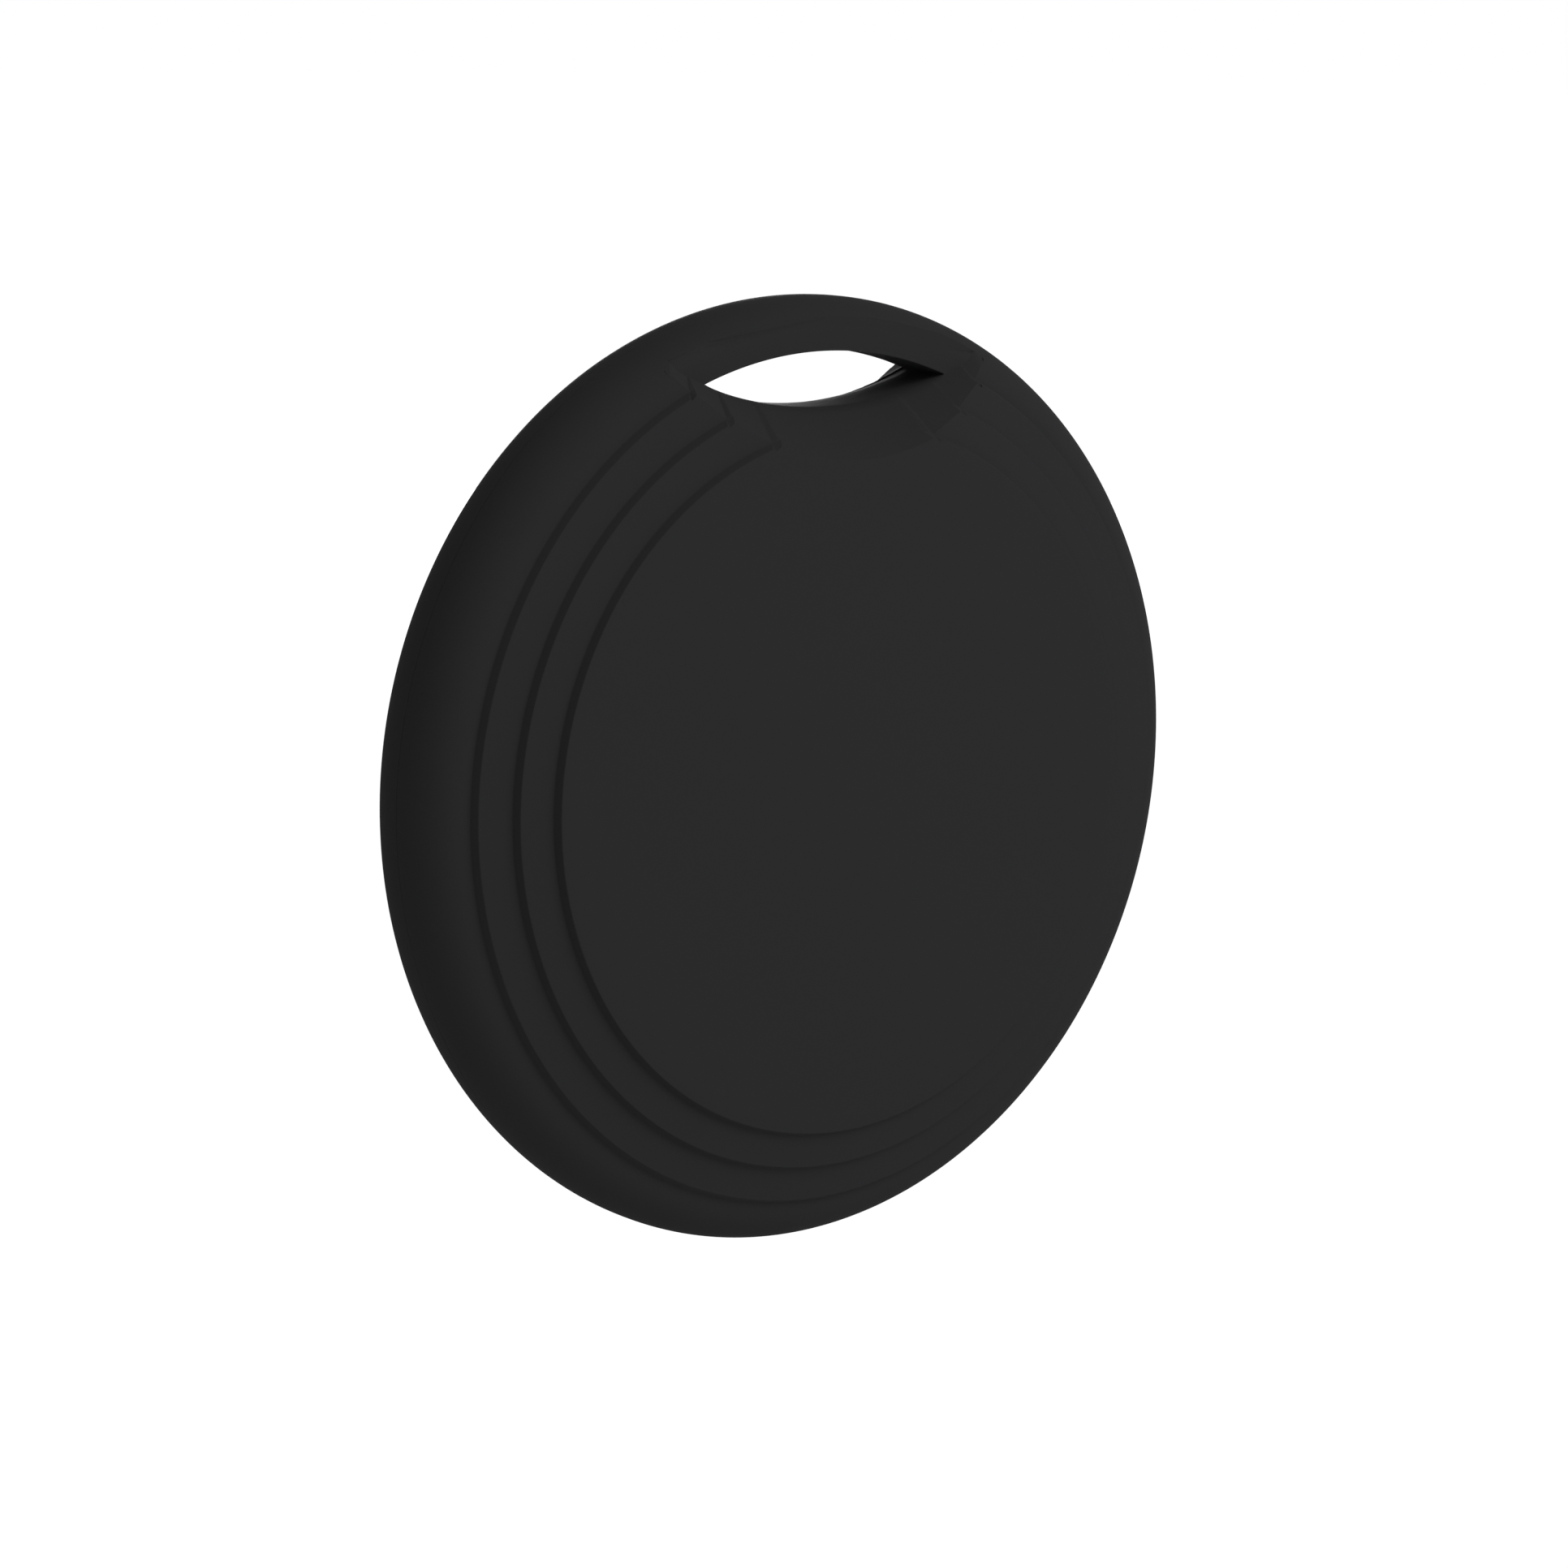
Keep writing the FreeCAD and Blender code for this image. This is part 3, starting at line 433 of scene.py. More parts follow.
@dataclass(frozen=True)
class Laminate:
    """Solder mask over routed copper on woven glass."""

    name: str
    mask: Colour
    copper_tint: Colour
    weave_mm: float = 0.42
    block_mm: float = 5.2
    tracks: int = 11
    track_share: float = 0.45
    pour_mm: float = 3.4
    pour_level: float = 0.56
    via_mm: float = 1.9
    via_share: float = 0.085
    drill_share: float = 0.45
    relief_mm: float = 0.018
    roughness: float = 0.34
    wear: float = 0.15
    wear_mm: float = 0.2
    coat: float = 0.2
    glass: Colour = (0.0, 0.02, 0.01)
    # Painted shade: the near-black colour that stands for the inside of each via's drill hole.
    hole_shade: Colour = (0.004, 0.01, 0.006)

    def material(self) -> bpy.types.Material:
        """Build the material.

        Returns:
            The board, with bundles of tracks, poured copper between them and plated vias, whose drill holes
            are painted near-black as the shade inside them.
        """
        shader = Shader(self.name)
        across, along = shader.axis("X"), shader.axis("Z")
        flat = shader.node("ShaderNodeCombineXYZ", None, {0: across, 1: along})
        turn = math.tau / (self.weave_mm * MM)
        weave = (across * turn).sine() * (along * turn).sine()
        square = self.plan(shader, flat, self.block_mm, Spacing.SQUARE) * self.tracks
        pour = shader.noise(self.pour_mm, 1.0, flat) > self.pour_level
        copper = (square.fraction() < self.track_share).larger(pour)
        spot = self.plan(shader, flat, self.via_mm, Spacing.ROUND)
        via = spot < self.via_share
        # Painted shade: each via's centre is coloured near-black for the shade inside its hole, and sunk a
        # little in the bump.
        hole_shade = spot < self.via_share * self.drill_share
        wear = shader.noise(self.wear_mm, 2.0)
        under = shader.blend(copper, self.mask, self.copper_tint)
        masked = shader.blend(weave * 0.05 + 0.05, under, self.glass)
        plated = shader.blend(via, masked, Tone.GOLD.value)
        return shader.finish(
            Base_Color=shader.blend(hole_shade, plated, self.hole_shade),
            Metallic=(via - hole_shade).clamped(),
            Roughness=(self.roughness + (wear - 0.5) * self.wear).clamped(),
            Coat_Weight=self.coat,
            Normal=shader.bump(copper * 0.8 + weave * 0.1 - hole_shade, self.relief_mm),
        )

    @staticmethod
    def plan(shader: Shader, flat: Signal, size_mm: float, spacing: Spacing) -> Signal:
        """Distance in the board's plane to the nearest of many scattered points.

        Args:
            shader: Material that it belongs to.
            flat: Position in the board's plane.
            size_mm: Rough distance between the points.
            spacing: How the distance is measured.

        Returns:
            The distance, as a share of the size.
        """
        settings = {"feature": "F1", "voronoi_dimensions": "2D", "distance": spacing.value}
        values = {"Vector": flat, "Scale": 1 / (size_mm * MM)}
        return shader.node("ShaderNodeTexVoronoi", settings, values, "Distance")


@dataclass(frozen=True)
class Fired:
    """Fired ceramic with a fine speckle, glazed or bare."""

    name: str
    colour: Colour
    roughness: float = 0.45
    wear: float = 0.2
    speckle_mm: float = 0.15
    speckle: float = 0.8
    relief_mm: float = 0.002
    edge_mm: float = 0.03

    def material(self) -> bpy.types.Material:
        """Build the material.

        Returns:
            The ceramic.
        """
        shader = Shader(self.name)
        speckle = shader.noise(self.speckle_mm, 4.0)
        return shader.finish(
            Base_Color=shader.blend(speckle, scaled(self.colour, self.speckle), self.colour),
            Roughness=(self.roughness + (speckle - 0.5) * self.wear).clamped(),
            Normal=shader.bump(speckle, self.relief_mm, shader.rounded(self.edge_mm)),
        )


@dataclass(frozen=True)
class EndCapped:
    """Small chip components: a body with bright metal at both ends of each, in a row along X."""

    name: str
    body: Colour
    first_mm: float
    pitch_mm: float
    body_half_mm: float
    roughness: float = 0.35
    wear: float = 0.2
    speckle_mm: float = 0.12
    speckle: float = 0.75
    relief_mm: float = 0.002
    edge_mm: float = 0.03

    def material(self) -> bpy.types.Material:
        """Build the material.

        Returns:
            The whole row, whose ends are told by their distance from each centre.
        """
        shader = Shader(self.name)
        steps = (shader.axis("X") / MM - self.first_mm) / self.pitch_mm + 0.5
        from_centre = (steps.fraction() - 0.5).magnitude() * self.pitch_mm
        cap = from_centre > self.body_half_mm
        speckle = shader.noise(self.speckle_mm, 3.0)
        body = shader.blend(speckle, scaled(self.body, self.speckle), self.body)
        return shader.finish(
            Base_Color=shader.blend(cap, body, Tone.TIN.value),
            Metallic=cap,
            Roughness=(self.roughness + (speckle - 0.5) * self.wear).clamped(),
            Normal=shader.bump(speckle, self.relief_mm, shader.rounded(self.edge_mm)),
        )


@dataclass(frozen=True)
class Foam:
    """Closed-cell foam or silicone, soft and matte."""

    name: str
    colour: Colour
    cell_mm: float = 0.18
    depth_mm: float = 0.02
    roughness: float = 0.85
    # Share of the colour left by the painted shade at the middle of each pit.
    pore_shade: float = 0.55

    def material(self) -> bpy.types.Material:
        """Build the material.

        Returns:
            The foam, with painted shade in the pits of its cells.
        """
        shader = Shader(self.name)
        # Painted shade: each cell is darker towards its middle, where the bump sinks it into a pit.
        pores = shader.cells(self.cell_mm)
        return shader.finish(
            Base_Color=shader.blend(pores.clamped(), scaled(self.colour, self.pore_shade), self.colour),
            Roughness=self.roughness,
            Normal=shader.bump(pores, self.depth_mm),
        )


HOUSING = MouldedPlastic("charcoal_housing", srgb(41, 41, 42), roughness=0.8, shine=0.01)
NYLON = MouldedPlastic("black_nylon", srgb(34, 34, 36), roughness=0.5, shine=0.35)
IVORY = MouldedPlastic("ivory_nylon", srgb(214, 208, 192), roughness=0.45, shine=0.4)
EPOXY = MouldedPlastic("moulded_epoxy", srgb(30, 30, 32), roughness=0.55, shine=0.35, grain_mm=0.06)
GROMMET = MouldedPlastic("grey_grommet", srgb(92, 92, 94), roughness=0.5)
PELLET = MouldedPlastic("pressed_pellet", srgb(40, 40, 40), roughness=0.9)
SILICONE = Foam("grey_silicone", srgb(126, 128, 130), cell_mm=0.4, depth_mm=0.003, roughness=0.5)
CUSHION = Foam("black_foam", srgb(48, 48, 48))
MASK = Laminate("green_laminate", srgb(16, 74, 44), srgb(30, 104, 62))
ALUMINA = Fired("alumina", srgb(226, 220, 206))
FERRITE = Fired("ferrite", srgb(66, 64, 62), roughness=0.6)
PIEZO = Fired("silvered_ceramic", srgb(206, 204, 198), roughness=0.35)
FILM = MouldedPlastic("amber_film", srgb(168, 98, 30), roughness=0.3, shine=0.5, grain_depth_mm=0.0005)
STEEL = Metal("spring_steel", Tone.NICKEL, Lay.ALONG_X, roughness=0.28)
LID = Metal("plated_lid", Tone.NICKEL, Lay.ALONG_X, roughness=0.32)
CELL_STEEL = Metal("nickelled_can", Tone.NICKEL, Lay.ALONG_Z, roughness=0.24, line_mm=0.12)
BRASS = Metal("rolled_brass", Tone.BRASS, Lay.ALONG_X, roughness=0.33)
GOLD = Metal("gold_flash", Tone.GOLD, roughness=0.25)
SOLDER = Metal("solder", Tone.TIN, roughness=0.38, line_mm=0.3)
COPPER = Metal("enamelled_copper", Tone.COPPER, roughness=0.35)

Finish = Union[MouldedPlastic, Metal, Laminate, Fired, EndCapped, Foam]
FINISHED: dict[str, bpy.types.Material] = {}


def dressed(obj: bpy.types.Object, finish: Finish) -> None:
    """Give every material slot of an object one finish, made once.

    Args:
        obj: Mesh object, from CAD or built here.
        finish: Its finish.
    """
    if finish.name not in FINISHED:
        FINISHED[finish.name] = finish.material()
    if not obj.material_slots:
        obj.data.materials.append(FINISHED[finish.name])
    for slot in obj.material_slots:
        slot.material = FINISHED[finish.name]


def dress_nodes(finishes: dict[str, Finish]) -> None:
    """Give each named CAD node its finish.

    Args:
        finishes: Finishes by the node's name.
    """
    for node, finish in finishes.items():
        dressed(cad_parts[node], finish)
        LOG.info("dressed %s in %s", node, finish.name)


# --------------------------------------------------------------------------- mesh making


def arc(centre: Point, radius: float, start: float, end: float, steps: int) -> list[Point]:
    """Points along an arc.

    Args:
        centre: Its centre.
        radius: Its radius.
        start: First angle, in degrees.
        end: Last angle, in degrees.
        steps: Number of spans.

    Returns:
        Both ends and the points between them.
    """
    angles = (math.radians(start + (end - start) * step / steps) for step in range(steps + 1))
    return [(centre[0] + radius * math.cos(angle), centre[1] + radius * math.sin(angle)) for angle in angles]


def softened(corners: Sequence[Place], steps: int = 4) -> list[Point]:
    """Round the corners of an open line.

    Args:
        corners: Points, each with the radius of its corner.
        steps: Number of spans in each rounded corner.

    Returns:
        The points of the rounded line.
    """
    points: list[Point] = []
    for number, (x, y, radius) in enumerate(corners):
        if radius == 0 or number in (0, len(corners) - 1):
            points.append((x, y))
            continue
        here = Vector((x, y))
        back = (Vector(corners[number - 1][:2]) - here).normalized()
        ahead = (Vector(corners[number + 1][:2]) - here).normalized()
        half = back.angle(ahead) / 2
        reach = radius / math.tan(half)
        middle = here + (back + ahead).normalized() * (radius / math.sin(half))
        first = here + back * reach - middle
        last = here + ahead * reach - middle
        for step in range(steps + 1):
            spoke = first.lerp(last, step / steps).normalized() * radius
            points.append(tuple(middle + spoke))
    return points


def spun(profile: Sequence[Point], steps: int = 288) -> bmesh.types.BMesh:
    """Turn a half section about Z.

    Args:
        profile: Points as radius and height; an open line that starts and ends on the axis, or a loop.
        steps: Number of spans round the axis.

    Returns:
        The closed mesh.
    """
    mesh = bmesh.new()
    on_axis = [abs(radius) < 1e-6 for radius, _ in profile]
    closed = not (on_axis[0] and on_axis[-1])
    poles = {
        number: mesh.verts.new((0, 0, profile[number][1])) for number, flag in enumerate(on_axis) if flag
    }
    rings = []
    for step in range(steps):
        angle = math.tau * step / steps
        rings.append([
            poles[number] if number in poles
            else mesh.verts.new((radius * math.cos(angle), radius * math.sin(angle), height))
            for number, (radius, height) in enumerate(profile)
        ])
    spans = range(len(profile)) if closed else range(len(profile) - 1)
    for step in range(steps):
        here, there = rings[step], rings[(step + 1) % steps]
        for span in spans:
            following = (span + 1) % len(profile)
            corners = [here[span], there[span], there[following], here[following]]
            mesh.faces.new(list(dict.fromkeys(corners)))
    bmesh.ops.recalc_face_normals(mesh, faces=mesh.faces)
    return mesh


def lofted(sections: Sequence[Sequence[Vector]], endless: bool = False) -> bmesh.types.BMesh:
    """Join loops of equal length into one closed solid.

    Args:
        sections: Loops of points, from one end to the other.
        endless: Whether the last loop joins the first one, as in a ring.

    Returns:
        The closed mesh.
    """
    mesh = bmesh.new()
    loops = [[mesh.verts.new(point) for point in section] for section in sections]
    following_loops = [*loops[1:], loops[0]] if endless else loops[1:]
    for low, high in zip(loops, following_loops):
        for number in range(len(low)):
            following = (number + 1) % len(low)
            mesh.faces.new((low[number], low[following], high[following], high[number]))
    if not endless:
        mesh.faces.new(loops[0][::-1])
        mesh.faces.new(loops[-1])
    bmesh.ops.recalc_face_normals(mesh, faces=mesh.faces)
    return mesh


def prism(outline: Sequence[Point], low: float, high: float) -> bmesh.types.BMesh:
    """A flat outline carried from one height to another."""
    return lofted([[Vector((x, y, height)) for x, y in outline] for height in (low, high)])


def bar(length: float, width: float, low: float, high: float) -> bmesh.types.BMesh:
    """A block centred on the axis between two heights."""
    x, y = length / 2, width / 2
    return prism([(-x, -y), (x, -y), (x, y), (-x, y)], low, high)


def disc(radius: float, low: float, high: float, steps: int = 48) -> bmesh.types.BMesh:
    """A round plate about the axis between two heights."""
    return prism(arc((0, 0), radius, 0, 360, steps)[:-1], low, high)


def shifted(mesh: bmesh.types.BMesh, x: float, y: float, angle: float = 0.0) -> bmesh.types.BMesh:
    """Turn a mesh about the axis, then move it.

    Args:
        mesh: The mesh, which is changed.
        x: Distance to the right.
        y: Distance towards the loop.
        angle: Turn in degrees.

    Returns:
        The same mesh.
    """
    turn = Matrix.Rotation(math.radians(angle), 4, "Z")
    mesh.transform(Matrix.Translation((x, y, 0)) @ turn)
    return mesh


def merged(meshes: Sequence[bmesh.types.BMesh]) -> bmesh.types.BMesh:
    """Put several separate meshes into one.

    Args:
        meshes: The meshes, which are used up.

    Returns:
        The whole.
    """
    whole = bmesh.new()
    for mesh in meshes:
        data = bpy.data.meshes.new("part")
        mesh.to_mesh(data)
        mesh.free()
        whole.from_mesh(data)
        bpy.data.meshes.remove(data)
    return whole


class Cut(Enum):
    """Ways to combine two solids."""

    AWAY = "DIFFERENCE"
    TOGETHER = "UNION"


class Solid:
    """A mesh object in the tag's own flat frame, in millimetres, that other solids are cut from."""

    def __init__(self, mesh: bmesh.types.BMesh, name: str = "solid") -> None:
        """Take over a mesh.

        Args:
            mesh: The mesh, which is used up.
            name: Name of the object.
        """
        data = bpy.data.meshes.new(name)
        mesh.to_mesh(data)
        mesh.free()
        self.obj = bpy.data.objects.new(name, data)
        bpy.context.collection.objects.link(self.obj)

    def combined(self, mesh: bmesh.types.BMesh, how: Cut = Cut.AWAY) -> "Solid":
        """Take another solid away from this one, or join it on.

        Args:
            mesh: The other solid.
            how: Whether it is taken away or joined.

        Returns:
            This solid.
        """
        tool = Solid(mesh, "tool")
        self._applied("BOOLEAN", operation=how.value, solver="MANIFOLD", object=tool.obj)
        bpy.data.objects.remove(tool.obj)
        return self

    def taken(self) -> bmesh.types.BMesh:
        """Give the mesh back and drop the object.

        Returns:
            The mesh.
        """
        mesh = bmesh.new()
        mesh.from_mesh(self.obj.data)
        bpy.data.objects.remove(self.obj)
        return mesh

    def _applied(self, kind: str, **settings: object) -> None:
        """Add a modifier and keep its result.

        Args:
            kind: Blender's name of the modifier's type.
            **settings: Its properties.
        """
        modifier = self.obj.modifiers.new("step", kind)
        for name, setting in settings.items():
            setattr(modifier, name, setting)
        graph = bpy.context.evaluated_depsgraph_get()
        data = bpy.data.meshes.new_from_object(self.obj.evaluated_get(graph), depsgraph=graph)
        self.obj.modifiers.clear()
        old, self.obj.data = self.obj.data, data
        bpy.data.meshes.remove(old)

    def finished(
        self, name: str, body: str, finish: Finish, sharp: float = 24.0
    ) -> bpy.types.Object:
        """Stand the solid up in the tag's place and make it a piece.

        Args:
            name: Name of the piece.
            body: CAD body that it moves with.
            finish: Its finish.
            sharp: Angle, in degrees, above which an edge stays sharp.

        Returns:
            The piece.
        """
        self.obj.name = name
        self.obj.data.name = name
        mesh = bmesh.new()
        mesh.from_mesh(self.obj.data)
        mesh.transform(STAND_UP)
        bmesh.ops.remove_doubles(mesh, verts=mesh.verts, dist=1e-7)
        for face in mesh.faces:
            face.smooth = True
        for edge in mesh.edges:
            edge.smooth = edge.calc_face_angle(0.0) < math.radians(sharp)
        mesh.to_mesh(self.obj.data)
        mesh.free()
        self._applied("WEIGHTED_NORMAL", keep_sharp=True, weight=50)
        dressed(self.obj, finish)
        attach(self.obj, body)
        LOG.info("built %s: %d faces", name, len(self.obj.data.polygons))
        return self.obj


def walled(outer: Sequence[Point], inner: Sequence[Point], low: float, high: float) -> bmesh.types.BMesh:
    """A wall between two outlines, one inside the other.

    Args:
        outer: Outline of its outside.
        inner: Outline of its inside.
        low: Height of its foot.
        high: Height of its top.

    Returns:
        The closed mesh.
    """
    return Solid(prism(outer, low, high)).combined(prism(inner, low - 1, high + 1)).taken()


# --------------------------------------------------------------------------- the tag's own frame

SHELL_LOW, SHELL_HIGH = (Vector(corner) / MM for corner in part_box("front_shell"))
TAG_RADIUS = (SHELL_HIGH.x - SHELL_LOW.x) / 2
# Height of the loop's middle over the disc's centre; the tag's face looks along -Y.
LOOP_Y = -(SHELL_LOW.z + SHELL_HIGH.z) / 2
# Height of the board's front over the parting plane, in millimetres.
BOARD_TOP = 2.1
DISC_CENTRE = Vector((0, 0, -LOOP_Y * MM))
UPRIGHT = Matrix.Translation(DISC_CENTRE) @ Matrix.Rotation(math.pi / 2, 4, "X")
STAND_UP = UPRIGHT @ Matrix.Scale(MM, 4)


def polar(radius: float, angle: float) -> Point:
    """The point at a distance from the axis, at an angle in degrees."""
    return radius * math.cos(math.radians(angle)), radius * math.sin(math.radians(angle))


def meeting(inner: float, outer: float, outer_y: float) -> Point:
    """Where a circle about the axis meets one about (0, outer_y), on the side of +X."""
    y = (inner**2 - outer**2 + outer_y**2) / (2 * outer_y)
    return math.sqrt(inner**2 - y**2), y


@dataclass
class Scoop:
    """The two arcs between which the face falls away to the key-ring hole, in millimetres."""

    bar_width: float = 2.1
    low_inset: float = 4.3
    low_radius: float = 17.3
    top_inset: float = 6.2
    top_radius: float = 10.6
    overshoot: float = 6.0
    lip_reach: float = 0.55
    lip_fade: float = 8.0
    lip_clear: float = 0.08
    lip_stand: float = 0.1
    closing: float = 0.6
    # Height, and growth of the hole at that height.
    mouth_curve: tuple[Point, ...] = (
        (-0.3, -0.05),
        (-0.6, 0.01),
        (-0.9, 0.05),
        (-1.1, 0.1),
        (-1.25, 0.16),
        (-1.5, 0.2),
    )

    @property
    def low_y(self) -> float:
        """Height of the centre of the hole's lower arc."""
        return TAG_RADIUS - self.low_inset + self.low_radius

    @property
    def top_y(self) -> float:
        """Height of the centre of the arc on the face."""
        return TAG_RADIUS - self.top_inset + self.top_radius

    @property
    def reach(self) -> float:
        """Half width at which the scoop has left the disc."""
        return 0.9 * self.top_radius

    def space(
        self,
        low_z: float,
        top_z: float,
        grow: float = 0.0,
        near_z: float | None = None,
        steps: int = 64,
    ) -> bmesh.types.BMesh:
        """The space over one flank, from the hole's lower arc to the arc on the face and beyond.

        Args:
            low_z: Height of the lower arc.
            top_z: Height of the arc on the face.
            grow: Distance that both arcs are moved outwards.
            near_z: Height to which the lower arc is carried straight on.
            steps: Number of spans along each arc.

        Returns:
            The closed mesh.
        """
        far_z = top_z + math.copysign(self.overshoot, top_z - low_z)
        low, top = (self.low_y, self.low_radius + grow), (self.top_y, self.top_radius + grow)
        levels = [(low, low_z), (top, top_z), (top, far_z)]
        if near_z is not None:
            levels.insert(0, (low, near_z))
        sections = []
        for (centre, radius), z in levels:
            xs = [self.reach * (2 * step / steps - 1) for step in range(steps + 1)]
            edge = [Vector((x, centre - math.sqrt(radius**2 - x**2), z)) for x in xs]
            sections.append([*edge, *(Vector((x, 2 * TAG_RADIUS, z)) for x in (self.reach, -self.reach))])
        return lofted(sections)

    def flank(
        self, top: Sequence[Vector], low_z: float, below: float = 0.6, above: float = 0.5
    ) -> bmesh.types.BMesh:
        """The space over the slope that runs from the face, square to the hole's edge, down to the hole.

        Args:
            top: Points of the face along the upper arc, from left to right.
            low_z: Height of the lower arc.
            below: Share of the slope by which it runs on under the lower arc.
            above: Share of the slope by which it runs on over the face.

        Returns:
            The closed mesh.
        """
        centre = Vector((0, self.low_y, 0))
        levels: list[list[Vector]] = [[], [], []]
        for point in top:
            spoke = (Vector((point.x, point.y, 0)) - centre).normalized()
            low = centre + spoke * self.low_radius + Vector((0, 0, low_z))
            over = point + (point - low) * above
            levels[0].append(low + (low - point) * below)
            levels[1].append(over)
            levels[2].append(Vector((over.x, over.y, point.z + 3 * low_z)))
        # Two points nearer the centre close each loop.
        for level in levels:
            for number in (-1, 0):
                inner = centre.lerp(level[number], self.closing)
                level.append(Vector((inner.x, inner.y, level[number].z)))
        return lofted(levels)

    def lip(self, top: Sequence[Vector], low_z: float, steps: int = 8) -> bmesh.types.BMesh:
        """What rounds off the edge where the slope runs out into the hole; it fades towards the hole's tips.

        Args:
            top: Points of the face along the upper arc, from left to right.
            low_z: Height of the lower arc.
            steps: Number of spans across the rounding.

        Returns:
            The closed mesh.
        """
        centre, up = Vector((0, self.low_y, 0)), Vector((0, 0, 1))
        tip, _ = meeting(TAG_RADIUS - self.bar_width, self.low_radius, self.low_y)
        sections = []
        for point in top:
            spoke = (Vector((point.x, point.y, 0)) - centre).normalized()
            low = centre + spoke * self.low_radius + up * low_z
            share = 1 - (abs(low.x) / tip) ** self.lip_fade
            if share <= 0:
                continue
            rise = (point - low).normalized()
            clear = (up - spoke) * self.lip_clear * share
            start, end = low + rise * self.lip_reach * share, low - up * self.lip_reach * share
            shares = [step / steps for step in range(steps + 1)]
            curve = [start.lerp(low, part).lerp(low.lerp(end, part), part) for part in shares]
            # The curve stands off a little, so that its ends leave both surfaces cleanly.
            sections.append([*(place + clear * self.lip_stand for place in curve), low + clear])
        return lofted(sections)

    def lens(self, grow: float = 0.0, steps: int = 72) -> list[Point]:
        """Outline of the key-ring hole, or of one that is larger all round.

        Args:
            grow: Distance that both arcs are moved outwards.
            steps: Number of spans along each arc.

        Returns:
            The closed outline.
        """
        outer, inner = TAG_RADIUS - self.bar_width + grow, self.low_radius + grow
        x, y = meeting(outer, inner, self.low_y)
        edge = math.degrees(math.atan2(y, x))
        tilt = math.degrees(math.atan2(y - self.low_y, x))
        lower = arc((0, self.low_y), inner, -180 - tilt, tilt, steps)
        return [*arc((0, 0), outer, edge, 180 - edge, steps), *lower[1:-1]]

    def hole(self) -> bmesh.types.BMesh:
        """The lens-shaped key-ring hole, right through the tag."""
        return prism(self.lens(), -TAG_RADIUS, TAG_RADIUS)

    def mouth(self) -> bmesh.types.BMesh:
        """What opens the hole out a little towards the back."""
        outlines = ((height, self.lens(grow)) for height, grow in self.mouth_curve)
        return lofted([[Vector((x, y, height)) for x, y in outline] for height, outline in outlines])

    def bitten(self, radius: float, arc_radius: float, steps: int = 240) -> list[Point]:
        """A disc's outline with its top bitten away about the centre of the hole's lower arc.

        Args:
            radius: Radius of the disc.
            arc_radius: Radius of the bite.
            steps: Number of spans round the disc.

        Returns:
            The closed outline.
        """
        x, y = meeting(radius, arc_radius, self.low_y)
        start = math.degrees(math.atan2(y, x))
        round_part = arc((0, 0), radius, start, -180 - start, steps)
        tilt = math.degrees(math.atan2(y - self.low_y, x))
        bite = arc((0, self.low_y), arc_radius, -180 - tilt, tilt, steps // 4)
        return [*round_part, *bite[1:-1]]


